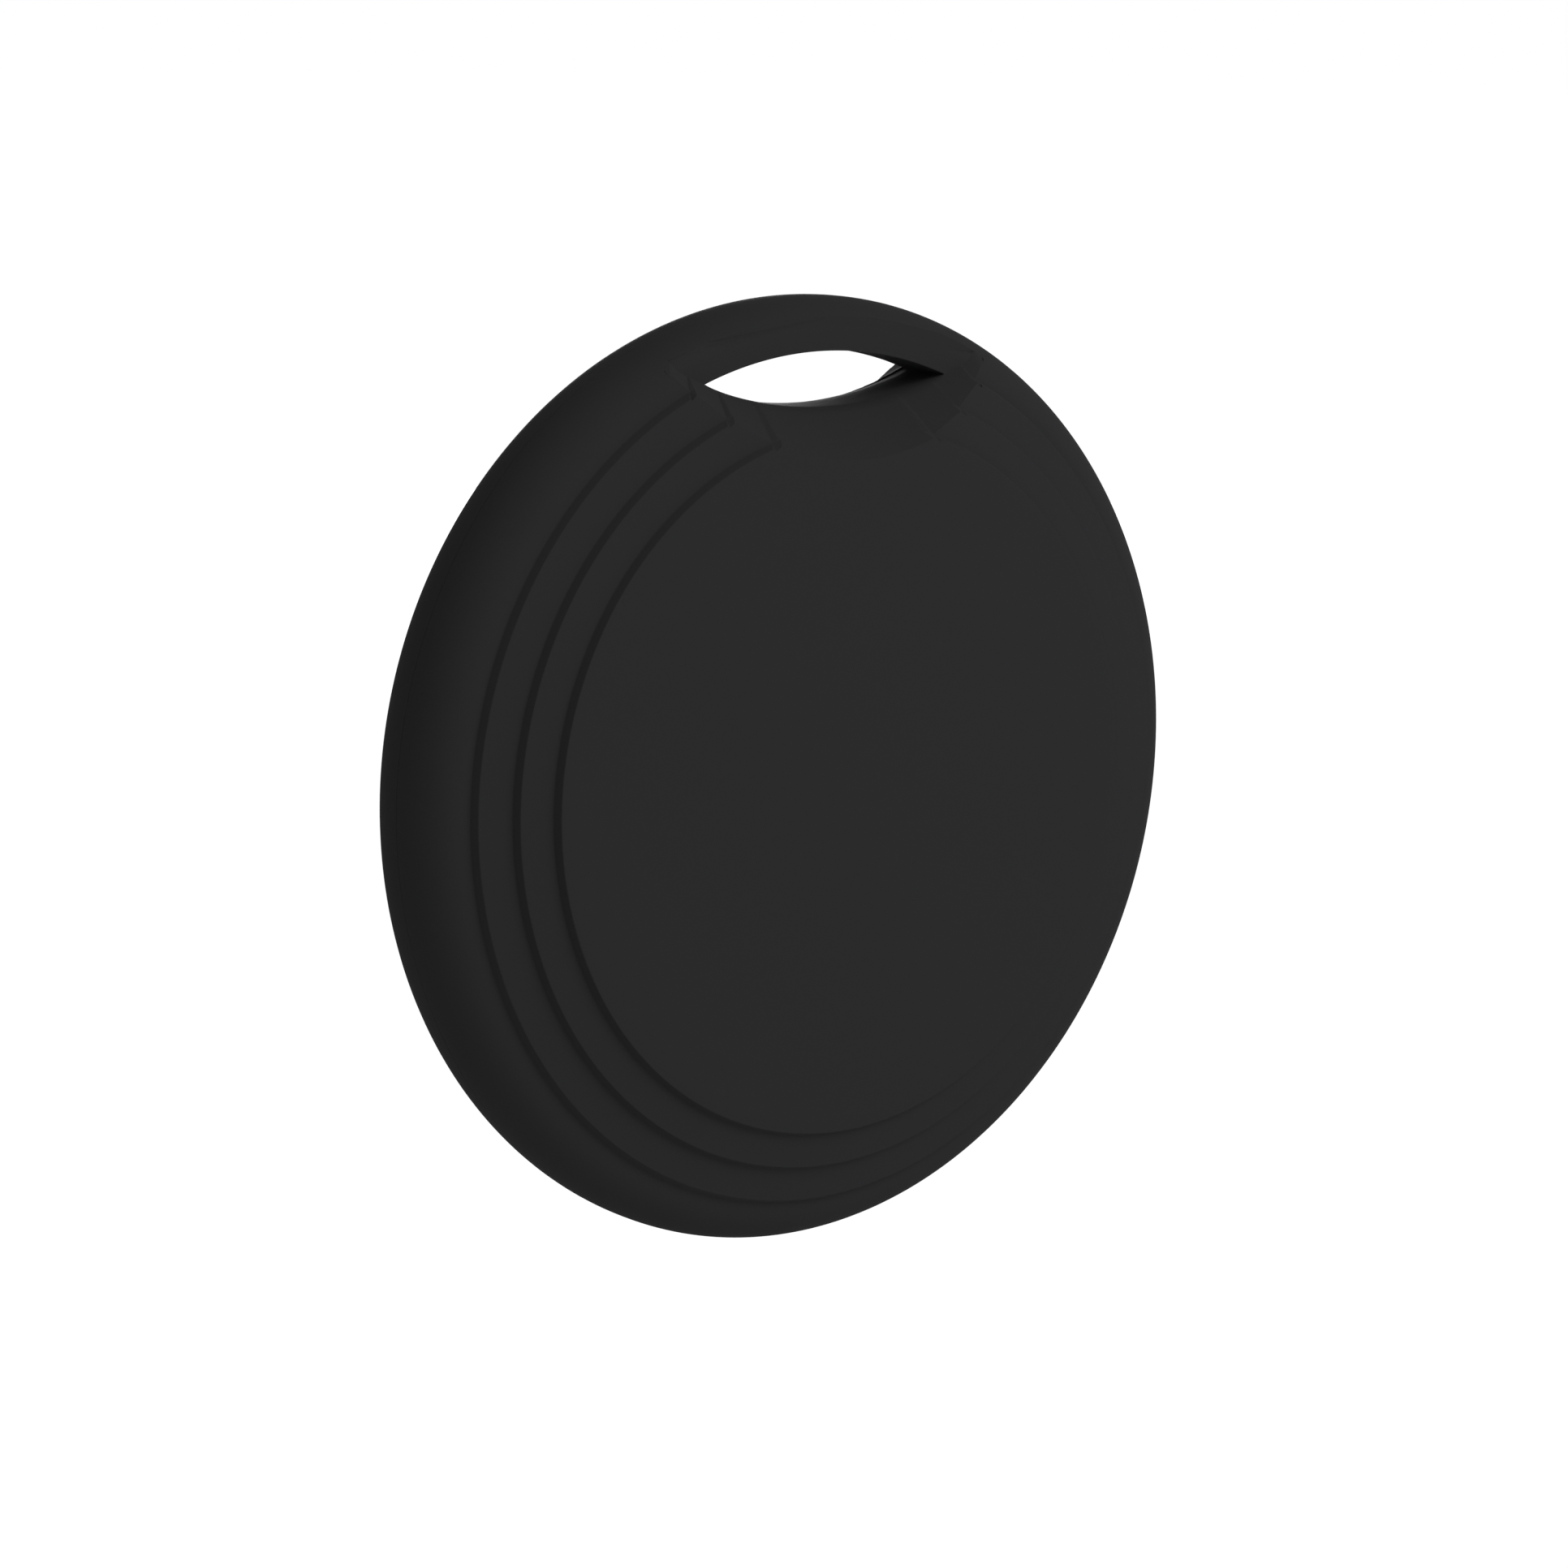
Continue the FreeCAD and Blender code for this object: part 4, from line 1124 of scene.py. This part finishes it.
@dataclass
class Housing:
    """The two half shells and the seal between them; sizes in millimetres."""

    scoop: Scoop = field(default_factory=Scoop)
    # The outside: rim, terraces, dome and loop.
    front_round: float = 2.2
    back_round: float = 3.1
    back_depth: float = 3.3
    rim_band: float = 1.85
    step_pitch: float = 1.48
    step_rise: float = 0.33
    step_lean: float = 0.155
    terrace_rises: tuple[float, float] = (0.31, 0.25)
    dome_rise: float = 0.67
    bar_front: float = 1.65
    bar_soft: float = 1.2
    bar_back: float = 1.25
    seam_radius: float = 0.015
    arc_step: float = 0.2
    edge_radius: float = 0.04
    cove_radius: float = 0.06
    # Walls, and the wall between the chamber and the scoop.
    bulkhead: float = 1.3
    face_wall: float = 1.1
    base_wall: float = 0.9
    rim_wall: float = 2.4
    # The spigot that centres the shells, with its ribs, and the seal's channel round it.
    spigot_wall: float = 0.8
    spigot_rise: float = 0.85
    spigot_clearance: float = 0.08
    rib_clearance: float = 0.03
    rib_drop: float = 0.05
    rib_width: float = 1.2
    rib_angles: tuple[float, ...] = (-90, -45, 0, 180, 225)
    seal_inset: float = 0.3
    seal_width: float = 0.5
    seal_depth: float = 0.35
    # The notch for prying the back off, and the rim that holds the sounder's plate.
    notch_width: float = 6.0
    notch_depth: float = 0.9
    notch_reach: float = 0.8
    notch_angle: float = -24.0
    plate_rim_inside: float = 12.15
    plate_rim_wall: float = 0.5
    plate_rim_rise: float = 0.5
    # Posts with pins for the board, and the boss over the switch.
    post_circle: float = 12.1
    post_radius: float = 0.95
    pin_radius: float = 0.5
    post_angles: tuple[float, ...] = (42, 138, 232, 308)
    board_top: float = BOARD_TOP
    pin_foot: float = 1.15
    boss_radius: float = 1.4
    boss_low: float = 2.91
    # How far cutting solids stand past a surface, and how deep what is joined on is rooted.
    clear: float = 1.0
    root: float = 0.4
    spigot_root: float = 0.5
    pin_root: float = 0.1

    def rings(self) -> list[tuple[float, float, float, float]]:
        """Work out the three steps from the rim inwards.

        Returns:
            Foot radius, foot height, top radius and top height of each.
        """
        foot = TAG_RADIUS - self.rim_band
        foot_z = math.sqrt(self.front_round**2 - (self.front_round - self.rim_band) ** 2)
        steps = []
        for rise in (*self.terrace_rises, 0.0):
            steps.append((foot, foot_z, foot - self.step_lean, foot_z + self.step_rise))
            foot -= self.step_pitch
            foot_z += self.step_rise + rise
        return steps

    def dome(self, radius: float, height: float) -> list[Point]:
        """Section of the shallow dome, or of a smaller one with the same curve.

        Args:
            radius: Radius of its edge.
            height: Height of its edge.

        Returns:
            Points from its edge to the axis.
        """
        _, _, edge, _ = self.rings()[-1]
        sphere = (edge**2 + self.dome_rise**2) / (2 * self.dome_rise)
        spread = math.degrees(math.asin(radius / sphere))
        centre = (0.0, height - math.sqrt(sphere**2 - radius**2))
        return arc(centre, sphere, 90 - spread, 90, 24)

    def face_section(self) -> list[Point]:
        """Half section of the front shell's outside.

        Returns:
            Points from the parting plane to the crown.
        """
        steps = self.rings()
        foot, foot_z, _, _ = steps[0]
        centre = TAG_RADIUS - self.front_round
        end = math.degrees(math.atan2(foot_z, foot - centre))
        # The rim's first two degrees give way to the edge at the seam.
        rim = arc((centre, 0), self.front_round, 2, end, 22)
        seam = self.seam_radius
        corners = [(0, 0, 0), (TAG_RADIUS - seam, 0, 0), (TAG_RADIUS, seam, 0)]
        corners += [(x, y, 0) for x, y in rim[:-1]]
        for foot, foot_z, top, top_z in steps:
            corners += [(foot, foot_z, self.cove_radius), (top, top_z, self.edge_radius)]
        _, _, top, top_z = steps[-1]
        corners += [(x, y, 0) for x, y in self.dome(top, top_z)[1:]]
        return softened(corners)

    def upper_arc(self) -> list[Vector]:
        """Follow the face along the scoop's upper arc.

        Returns:
            Points from left to right.
        """
        scoop, spans = self.scoop, 24
        nearest = TAG_RADIUS - scoop.top_inset
        _, _, edge, edge_z = self.rings()[-1]
        last = scoop.reach
        # The outermost point lies just over the bar, so that the slope never runs level.
        half = [(last, scoop.top_y - math.sqrt(scoop.top_radius**2 - last**2), self.bar_front + 0.02)]
        for radius, height in self.face_section():
            if height > self.bar_front and radius > edge:
                half.append((*meeting(radius, scoop.top_radius, scoop.top_y), height))
        for step in range(1, spans):
            radius = edge + (nearest - edge) * step / spans
            height = edge_z + self.dome_rise * (1 - (radius / edge) ** 2)
            half.append((*meeting(radius, scoop.top_radius, scoop.top_y), height))
        middle = (0.0, nearest, edge_z + self.dome_rise * (1 - (nearest / edge) ** 2))
        left = [Vector((-x, y, z)) for x, y, z in half]
        right = [Vector(point) for point in reversed(half)]
        corners = [*left, Vector(middle), *right]
        points = []
        for here, after in zip(corners, corners[1:]):
            parts = math.ceil((after - here).length / self.arc_step)
            points += [here.lerp(after, part / parts) for part in range(parts)]
        return [*points, corners[-1]]

    def bar_section(self) -> list[Point]:
        """Half section of what the scoop leaves: the bar's flat front and its rounded outer edge.

        Returns:
            Points from the axis outwards and back under the bar.
        """
        centre, soft = TAG_RADIUS - self.front_round, self.bar_soft
        reach = math.sqrt((self.front_round - soft) ** 2 - (self.bar_front - soft) ** 2)
        lean = math.atan2(self.bar_front - soft, reach)
        edge = arc((centre + reach, self.bar_front - soft), soft, 90, math.degrees(lean), 10)
        # The section runs on past the rounding, then well below the parting plane.
        run, far = 2.5, -8
        foot_x, foot_y = edge[-1][0] + run * math.sin(lean), edge[-1][1] - run * math.cos(lean)
        return [(0, self.bar_front), *edge, (foot_x, foot_y), (foot_x, far), (0, far)]

    def front_cover(self) -> bpy.types.Object:
        """Domed and stepped front shell, with the scoop, its half of the loop, the posts and the boss.

        Returns:
            The piece that stands for the front shell.
        """
        top_z = self.rings()[-1][3]
        arc_points = self.upper_arc()
        cover = Solid(spun(self.face_section()))
        slope = Solid(self.scoop.flank(arc_points, self.bar_front))
        cover.combined(slope.combined(spun(self.bar_section())).taken())
        chamber = Solid(spun(self.hollow_section()))
        chamber.combined(self.scoop.space(self.bar_front, top_z, self.bulkhead, near_z=-self.clear))
        cover.combined(chamber.taken())
        cover.combined(self.scoop.hole())
        cover.combined(self.scoop.lip(arc_points, self.bar_front))
        in_wall = top_z - self.face_wall / 2
        for angle in self.post_angles:
            x, y = polar(self.post_circle, angle)
            cover.combined(shifted(disc(self.post_radius, self.board_top, in_wall), x, y), Cut.TOGETHER)
            pin = disc(self.pin_radius, self.pin_foot, self.board_top + self.pin_root)
            cover.combined(shifted(pin, x, y), Cut.TOGETHER)
        boss = disc(self.boss_radius, self.boss_low, top_z + self.dome_rise - self.face_wall / 2)
        cover.combined(boss, Cut.TOGETHER)
        piece = cover.finished("front_cover", "tag", HOUSING)
        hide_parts("front_shell")
        return piece

    def hollow_section(self) -> list[Point]:
        """Half section of the chamber in the front shell.

        Returns:
            Points from the axis outwards and back along the ceiling.
        """
        steps = self.rings()
        _, foot_z, _, _ = steps[0]
        _, _, top, top_z = steps[-1]
        wall = TAG_RADIUS - self.rim_wall
        ceiling = self.dome(top - self.face_wall, top_z - self.face_wall)
        return [(0, -self.clear), (wall, -self.clear), (wall, foot_z - self.face_wall), *ceiling]

    def back_cover(self) -> bpy.types.Object:
        """Flat-bottomed back shell, with its half of the loop, the spigot, the ribs and the pry notch.

        Returns:
            The piece that stands for the back shell.
        """
        scoop, seam = self.scoop, self.seam_radius
        wall, bite = TAG_RADIUS - self.rim_wall, scoop.low_radius + self.bulkhead
        floor = self.base_wall - self.back_depth
        rim_centre = (TAG_RADIUS - self.back_round, self.back_round - self.back_depth)
        rim = arc(rim_centre, self.back_round, -90, 0, 26)
        seam_edge = [(TAG_RADIUS, -seam), (TAG_RADIUS - seam, 0)]
        cover = Solid(spun([(0, -self.back_depth), *rim, *seam_edge, (0, 0)]))
        cover.combined(scoop.space(-self.bar_back, -self.back_depth))
        inset = self.spigot_clearance + self.spigot_wall
        inner = scoop.bitten(wall - inset, bite + inset)
        chamber = Solid(prism(inner, floor, self.clear))
        over = 2 * self.clear
        chamber.combined(scoop.space(-self.bar_back, -self.back_depth, self.bulkhead, near_z=over))
        cover.combined(chamber.taken())
        near, far = self.seal_inset, self.seal_inset + self.seal_width
        seal_outer, seal_inner = (scoop.bitten(wall + out, bite - out) for out in (far, near))
        cover.combined(walled(seal_outer, seal_inner, -self.seal_depth, self.clear))
        outer = scoop.bitten(wall - self.spigot_clearance, bite + self.spigot_clearance)
        cover.combined(walled(outer, inner, -self.spigot_root, self.spigot_rise), Cut.TOGETHER)
        pry = bar(TAG_RADIUS, self.notch_width, -self.notch_depth, self.clear)
        place = polar(TAG_RADIUS * 1.5 - self.notch_reach, self.notch_angle)
        cover.combined(shifted(pry, *place, self.notch_angle))
        for angle in self.rib_angles:
            rib = bar(self.spigot_wall, self.rib_width, -self.root, self.spigot_rise - self.rib_drop)
            place = polar(wall - self.rib_clearance - self.spigot_wall / 2, angle)
            cover.combined(shifted(rib, *place, angle), Cut.TOGETHER)
        inside, outside = self.plate_rim_inside, self.plate_rim_inside + self.plate_rim_wall
        foot, top = floor - self.root, floor + self.plate_rim_rise
        cover.combined(spun([(inside, foot), (outside, foot), (outside, top), (inside, top)]), Cut.TOGETHER)
        cover.combined(scoop.hole())
        cover.combined(scoop.mouth())
        piece = cover.finished("back_cover", "back", HOUSING)
        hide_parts("back_shell")
        return piece

    def build(self) -> None:
        """Make both covers and dress the seal."""
        self.front_cover()
        self.back_cover()
        dress_nodes({"seal_ring": SILICONE})


@dataclass(frozen=True)
class Lands:
    """Rows of solder fillets along some sides of a soldered part; sizes in millimetres."""

    node: str
    sides: tuple[int, ...]
    count: int = 1
    pitch: float = 0.0
    width: float = 0.3
    rise: float = 0.15

    def places(self) -> list[Place]:
        """Find the foot of each fillet from the box of the part.

        Returns:
            Place of each on the board, with the angle that it faces.
        """
        low, high = (Vector(corner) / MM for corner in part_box(self.node))
        middle = (low + high) / 2
        spots = []
        for angle in self.sides:
            cos, sin = polar(1, angle)
            half = abs(cos) * (high.x - low.x) / 2 + abs(sin) * (high.z - low.z) / 2
            for number in range(self.count):
                along = (number - (self.count - 1) / 2) * self.pitch
                x = middle.x + cos * half - sin * along
                y = middle.z + LOOP_Y + sin * half + cos * along
                spots.append((x, y, angle))
        return spots


@dataclass
class BoardAssembly:
    """The circuit board with what is soldered to it; sizes in millimetres."""

    board_top: float = BOARD_TOP
    board_back: float = 1.5
    coil_centre: Point = (6.0, 3.6)
    coil_side: float = 2.6
    coil_low: float = 2.2625
    coil_high: float = 2.5875
    turns: int = 4
    turn_steps: int = 48
    turn_squareness: float = 0.35
    wire_share: float = 0.98
    pad_radius: float = 0.42
    pad_rise: float = 0.02
    test_pads: tuple[Point, ...] = (
        (-9.2, -4.6),
        (-9.2, -6.4),
        (8.8, -6.2),
        (9.6, -4.4),
        (9.9, 1.0),
        (2.6, 9.2),
    )
    back_pads: tuple[Point, ...] = ((4.0, -11.9), (5.6, -11.4), (-6.4, -11.0), (-4.6, -11.8), (0.0, 11.6))
    capacitors: tuple[float, float, int] = (-4.0, -4.6, 6)
    resistors: tuple[float, float, int] = (-3.0, -7.2, 5)
    chip_pitch: float = 1.6
    chip_half: float = 0.5
    chip_width: float = 0.5
    chip_cap: float = 0.22
    fillet_reach: float = 0.2
    fillet_sink: float = 0.02
    fillet_hollow: Point = (0.35, 0.3)
    fillet_rise: float = 0.22
    lands: tuple[Lands, ...] = (
        Lands("radio_chip", (0, 90, 180, 270), 8, 0.5, 0.26, 0.1),
        Lands("radio_crystal", (90, 270), 2, 1.5, 0.7),
        Lands("clock_crystal", (0, 180), 1, 0, 1.2, 0.2),
        Lands("chip_antenna", (0, 180), 1, 0, 1.5, 0.3),
        Lands("boost_coil", (0, 180), 1, 0, 2.2, 0.12),
        Lands("sounder_driver", (90, 270), 3, 0.967, 0.4, 0.1),
        Lands("switch_base", (0, 180), 2, 2.133, 0.4, 0.12),
    )

    def pads(self) -> bpy.types.Object:
        """Gold test pads on both faces of the board.

        Returns:
            The piece.
        """
        front, back = self.board_top + self.pad_rise, self.board_back - self.pad_rise
        faces = ((self.test_pads, self.board_top, front), (self.back_pads, back, self.board_back))
        meshes = []
        for places, low, high in faces:
            meshes += [shifted(disc(self.pad_radius, low, high, steps=24), *place) for place in places]
        return Solid(merged(meshes)).finished("test_pads", "tag", GOLD)

    def fillet(self, width: float, rise: float) -> bmesh.types.BMesh:
        """A hollow-faced wedge of solder that stands on the board and rises against what it holds.

        Args:
            width: Its width.
            rise: Its height against the part.

        Returns:
            The closed mesh, with the part's side at the axis.
        """
        low, reach, sunk = self.board_top, self.fillet_reach, -self.fillet_sink
        across, up = self.fillet_hollow
        hollow = (reach * across, low + rise * up)
        loop = [(sunk, low), (reach, low), hollow, (0, low + rise), (sunk, low + rise)]
        return lofted([[Vector((x, edge, z)) for x, z in loop] for edge in (-width / 2, width / 2)])

    def solder(self) -> bpy.types.Object:
        """Solder fillets round every part on the front of the board.

        Returns:
            The piece.
        """
        meshes = []
        for first, y, count in (self.capacitors, self.resistors):
            for number in range(count):
                centre = first + number * self.chip_pitch
                for side, angle in ((1, 0), (-1, 180)):
                    wedge = self.fillet(self.chip_width, self.fillet_rise)
                    meshes.append(shifted(wedge, centre + side * self.chip_half, y, angle))
        for row in self.lands:
            meshes += [shifted(self.fillet(row.width, row.rise), *place) for place in row.places()]
        return Solid(merged(meshes)).finished("solder_fillets", "tag", SOLDER)

    def winding(self) -> bpy.types.Object:
        """Turns of enamelled wire in the waist of the boost coil.

        Returns:
            The piece.
        """
        wire = (self.coil_high - self.coil_low) / self.turns / 2
        half = self.coil_side / 2
        section = arc((0, 0), wire * self.wire_share, 0, 360, 10)[:-1]
        meshes = []
        for turn in range(self.turns):
            level = self.coil_low + wire * (2 * turn + 1)
            loops = []
            for step in range(self.turn_steps):
                cos, sin = polar(1, 360 * step / self.turn_steps)
                x, y = (math.copysign(abs(part) ** self.turn_squareness, part) for part in (cos, sin))
                ring = [(half + out, level + up) for out, up in section]
                loops.append([Vector((x * radius, y * radius, height)) for radius, height in ring])
            meshes.append(shifted(lofted(loops, endless=True), *self.coil_centre))
        return Solid(merged(meshes)).finished("coil_winding", "tag", COPPER, sharp=80)

    def build(self) -> None:
        """Dress the board's nodes and add what is soldered on."""
        body_half = self.chip_half - self.chip_cap
        dress_nodes({
            "circuit_board": MASK,
            "radio_chip": EPOXY,
            "radio_crystal": LID,
            "clock_crystal": LID,
            "chip_antenna": ALUMINA,
            "boost_coil": FERRITE,
            "sounder_driver": EPOXY,
            "chip_capacitors": EndCapped(
                "capacitor_row", srgb(150, 118, 84), self.capacitors[0], self.chip_pitch, body_half
            ),
            "chip_resistors": EndCapped(
                "resistor_row", srgb(34, 34, 36), self.resistors[0], self.chip_pitch, body_half
            ),
            "cell_cradle": NYLON,
            "positive_clip": STEEL,
            "negative_contact": STEEL,
            "sounder_pins": GOLD,
        })
        self.pads()
        self.solder()
        self.winding()


def bead(radius: float, rise: float, base: float, steps: int = 24) -> bmesh.types.BMesh:
    """A low round-topped head of melted plastic.

    Args:
        radius: Its radius.
        rise: Its height.
        base: Height that it stands on.
        steps: Number of spans round it.

    Returns:
        The closed mesh.
    """
    curve = arc((0, 0), 1, 0, 90, 6)[1:-1]
    crown = [(radius * x, base + rise * y) for x, y in curve]
    return spun([(0, base), (radius, base), *crown, (0, base + rise)], steps)


@dataclass
class ButtonSwitch:
    """The small switch that the face presses; sizes in millimetres."""

    stake_place: Point = (1.5, 1.3)
    stake_radius: float = 0.17
    stake_rise: float = 0.07
    cover_top: float = 2.66

    def stakes(self) -> bpy.types.Object:
        """Melted heads of the four pegs that hold the cover down.

        Returns:
            The piece.
        """
        x, y = self.stake_place
        corners = [(side * x, end * y) for side in (-1, 1) for end in (-1, 1)]
        heads = []
        for corner in corners:
            heads.append(shifted(bead(self.stake_radius, self.stake_rise, self.cover_top), *corner))
        return Solid(merged(heads)).finished("switch_stakes", "tag", NYLON, sharp=60)

    def build(self) -> None:
        """Dress its nodes and add the stakes."""
        dress_nodes({
            "switch_base": NYLON,
            "switch_dome": STEEL,
            "switch_cover": STEEL,
            "switch_button": IVORY,
        })
        self.stakes()


@dataclass
class CoinCell:
    """The sealed coin cell."""

    def build(self) -> None:
        """Dress its nodes."""
        dress_nodes({
            "cell_can": CELL_STEEL,
            "cell_cap": CELL_STEEL,
            "cell_grommet": GROMMET,
            "cell_pellet": PELLET,
        })


@dataclass
class Sounder:
    """The piezo disc on the floor of the back shell, with its lead and cushions."""

    def build(self) -> None:
        """Dress its nodes."""
        dress_nodes({
            "sounder_plate": BRASS,
            "sounder_ceramic": PIEZO,
            "sounder_lead": FILM,
            "cell_cushions": CUSHION,
        })


# --------------------------------------------------------------------------- studio


@dataclass
class Studio:
    """Floor, soft light and camera; places in metres."""

    ambient: float = 0.43
    key_size: float = 0.5
    key_power: float = 3.2
    key_place: Place = (0.24, -0.50, 0.34)
    fill_power: float = 2.4
    fill_size: float = 0.16
    fill_place: Place = (0.36, 0.50, 0.01)
    floor_drop: float = 0.035
    floor_size: float = 4.0
    floor_share: float = 0.04
    floor_white: float = 0.82
    floor_glow: float = 1.04
    # The camera's turn in degrees, then where the tag stands as the camera sees it.
    pitch: float = 10.47
    yaw: float = 38.40
    roll: float = -1.467
    offset: Place = (-0.002231, 0.001122, -0.189595)
    pivot_depth: float = -0.004142
    lens: float = 106.93

    def world(self) -> None:
        """Even light all round that the camera and reflections see as white."""
        world = bpy.data.worlds.new("studio")
        world.use_nodes = True
        bpy.context.scene.world = world
        nodes = Nodes(world.node_tree)
        strength = self.ambient + nodes.seen() * (1 - self.ambient)
        light = nodes.node("ShaderNodeBackground", None, {"Color": (1, 1, 1, 1), "Strength": strength})
        nodes.surface("ShaderNodeOutputWorld", light)

    def floor(self) -> None:
        """Pale floor below the hanging tag, white to the camera but for the tag's shadow."""
        mesh = bmesh.new()
        bmesh.ops.create_grid(mesh, x_segments=8, y_segments=8, size=self.floor_size)
        data = bpy.data.meshes.new("floor")
        mesh.to_mesh(data)
        mesh.free()
        floor = bpy.data.objects.new("floor", data)
        bpy.context.collection.objects.link(floor)
        floor.location.z = CAD_BOX[0][2] - self.floor_drop
        shader = Shader("floor_white")
        lit = shader.node("ShaderNodeBsdfDiffuse", None, {"Color": (*[self.floor_white] * 3, 1)})
        glow = shader.node("ShaderNodeEmission", None, {"Color": (1, 1, 1, 1), "Strength": self.floor_glow})
        share = shader.seen() * (1 - self.floor_share)
        both = shader.node("ShaderNodeMixShader", None, {0: share, 1: lit, 2: glow})
        shader.surface("ShaderNodeOutputMaterial", both)
        data.materials.append(shader.material)

    def lamp(self, name: str, size: float, power: float, place: Place) -> None:
        """Soft square lamp that looks at the tag.

        Args:
            name: Its name.
            size: Length of its side.
            power: Its power in watts.
            place: Where it stands.
        """
        light = bpy.data.lights.new(name, "AREA")
        light.size = size
        light.energy = power
        holder = bpy.data.objects.new(name, light)
        bpy.context.collection.objects.link(holder)
        holder.location = place
        aim = DISC_CENTRE - Vector(place)
        holder.rotation_euler = aim.to_track_quat("-Z", "Y").to_euler()

    def camera(self) -> None:
        """Camera to the left of the face and a little above it."""
        turn = (
            Matrix.Rotation(math.radians(self.pitch), 3, "X")
            @ Matrix.Rotation(math.radians(self.yaw), 3, "Y")
            @ Matrix.Rotation(math.radians(self.roll), 3, "Z")
        )
        eye = Vector((0, 0, self.pivot_depth)) - turn.transposed() @ Vector(self.offset)
        local = turn.transposed().to_4x4()
        local.translation = eye
        data = bpy.data.cameras.new("camera")
        data.lens = self.lens
        data.sensor_width = 36
        data.clip_start = 0.01
        camera = bpy.data.objects.new("camera", data)
        bpy.context.collection.objects.link(camera)
        camera.matrix_world = UPRIGHT @ local
        bpy.context.scene.camera = camera

    def build(self) -> None:
        """Set up the whole studio."""
        self.world()
        self.floor()
        self.lamp("key", self.key_size, self.key_power, self.key_place)
        self.lamp("fill", self.fill_size, self.fill_power, self.fill_place)
        self.camera()
        bpy.context.scene.view_settings.view_transform = "Standard"


def main() -> None:
    """Build the studio, then every sub-assembly in order."""
    logging.basicConfig(level=logging.INFO, format="%(name)s: %(message)s")
    for assembly in (Studio(), Housing(), BoardAssembly(), ButtonSwitch(), CoinCell(), Sounder()):
        LOG.info("building %s", type(assembly).__name__)
        assembly.build()


if __name__ == "__main__":
    main()
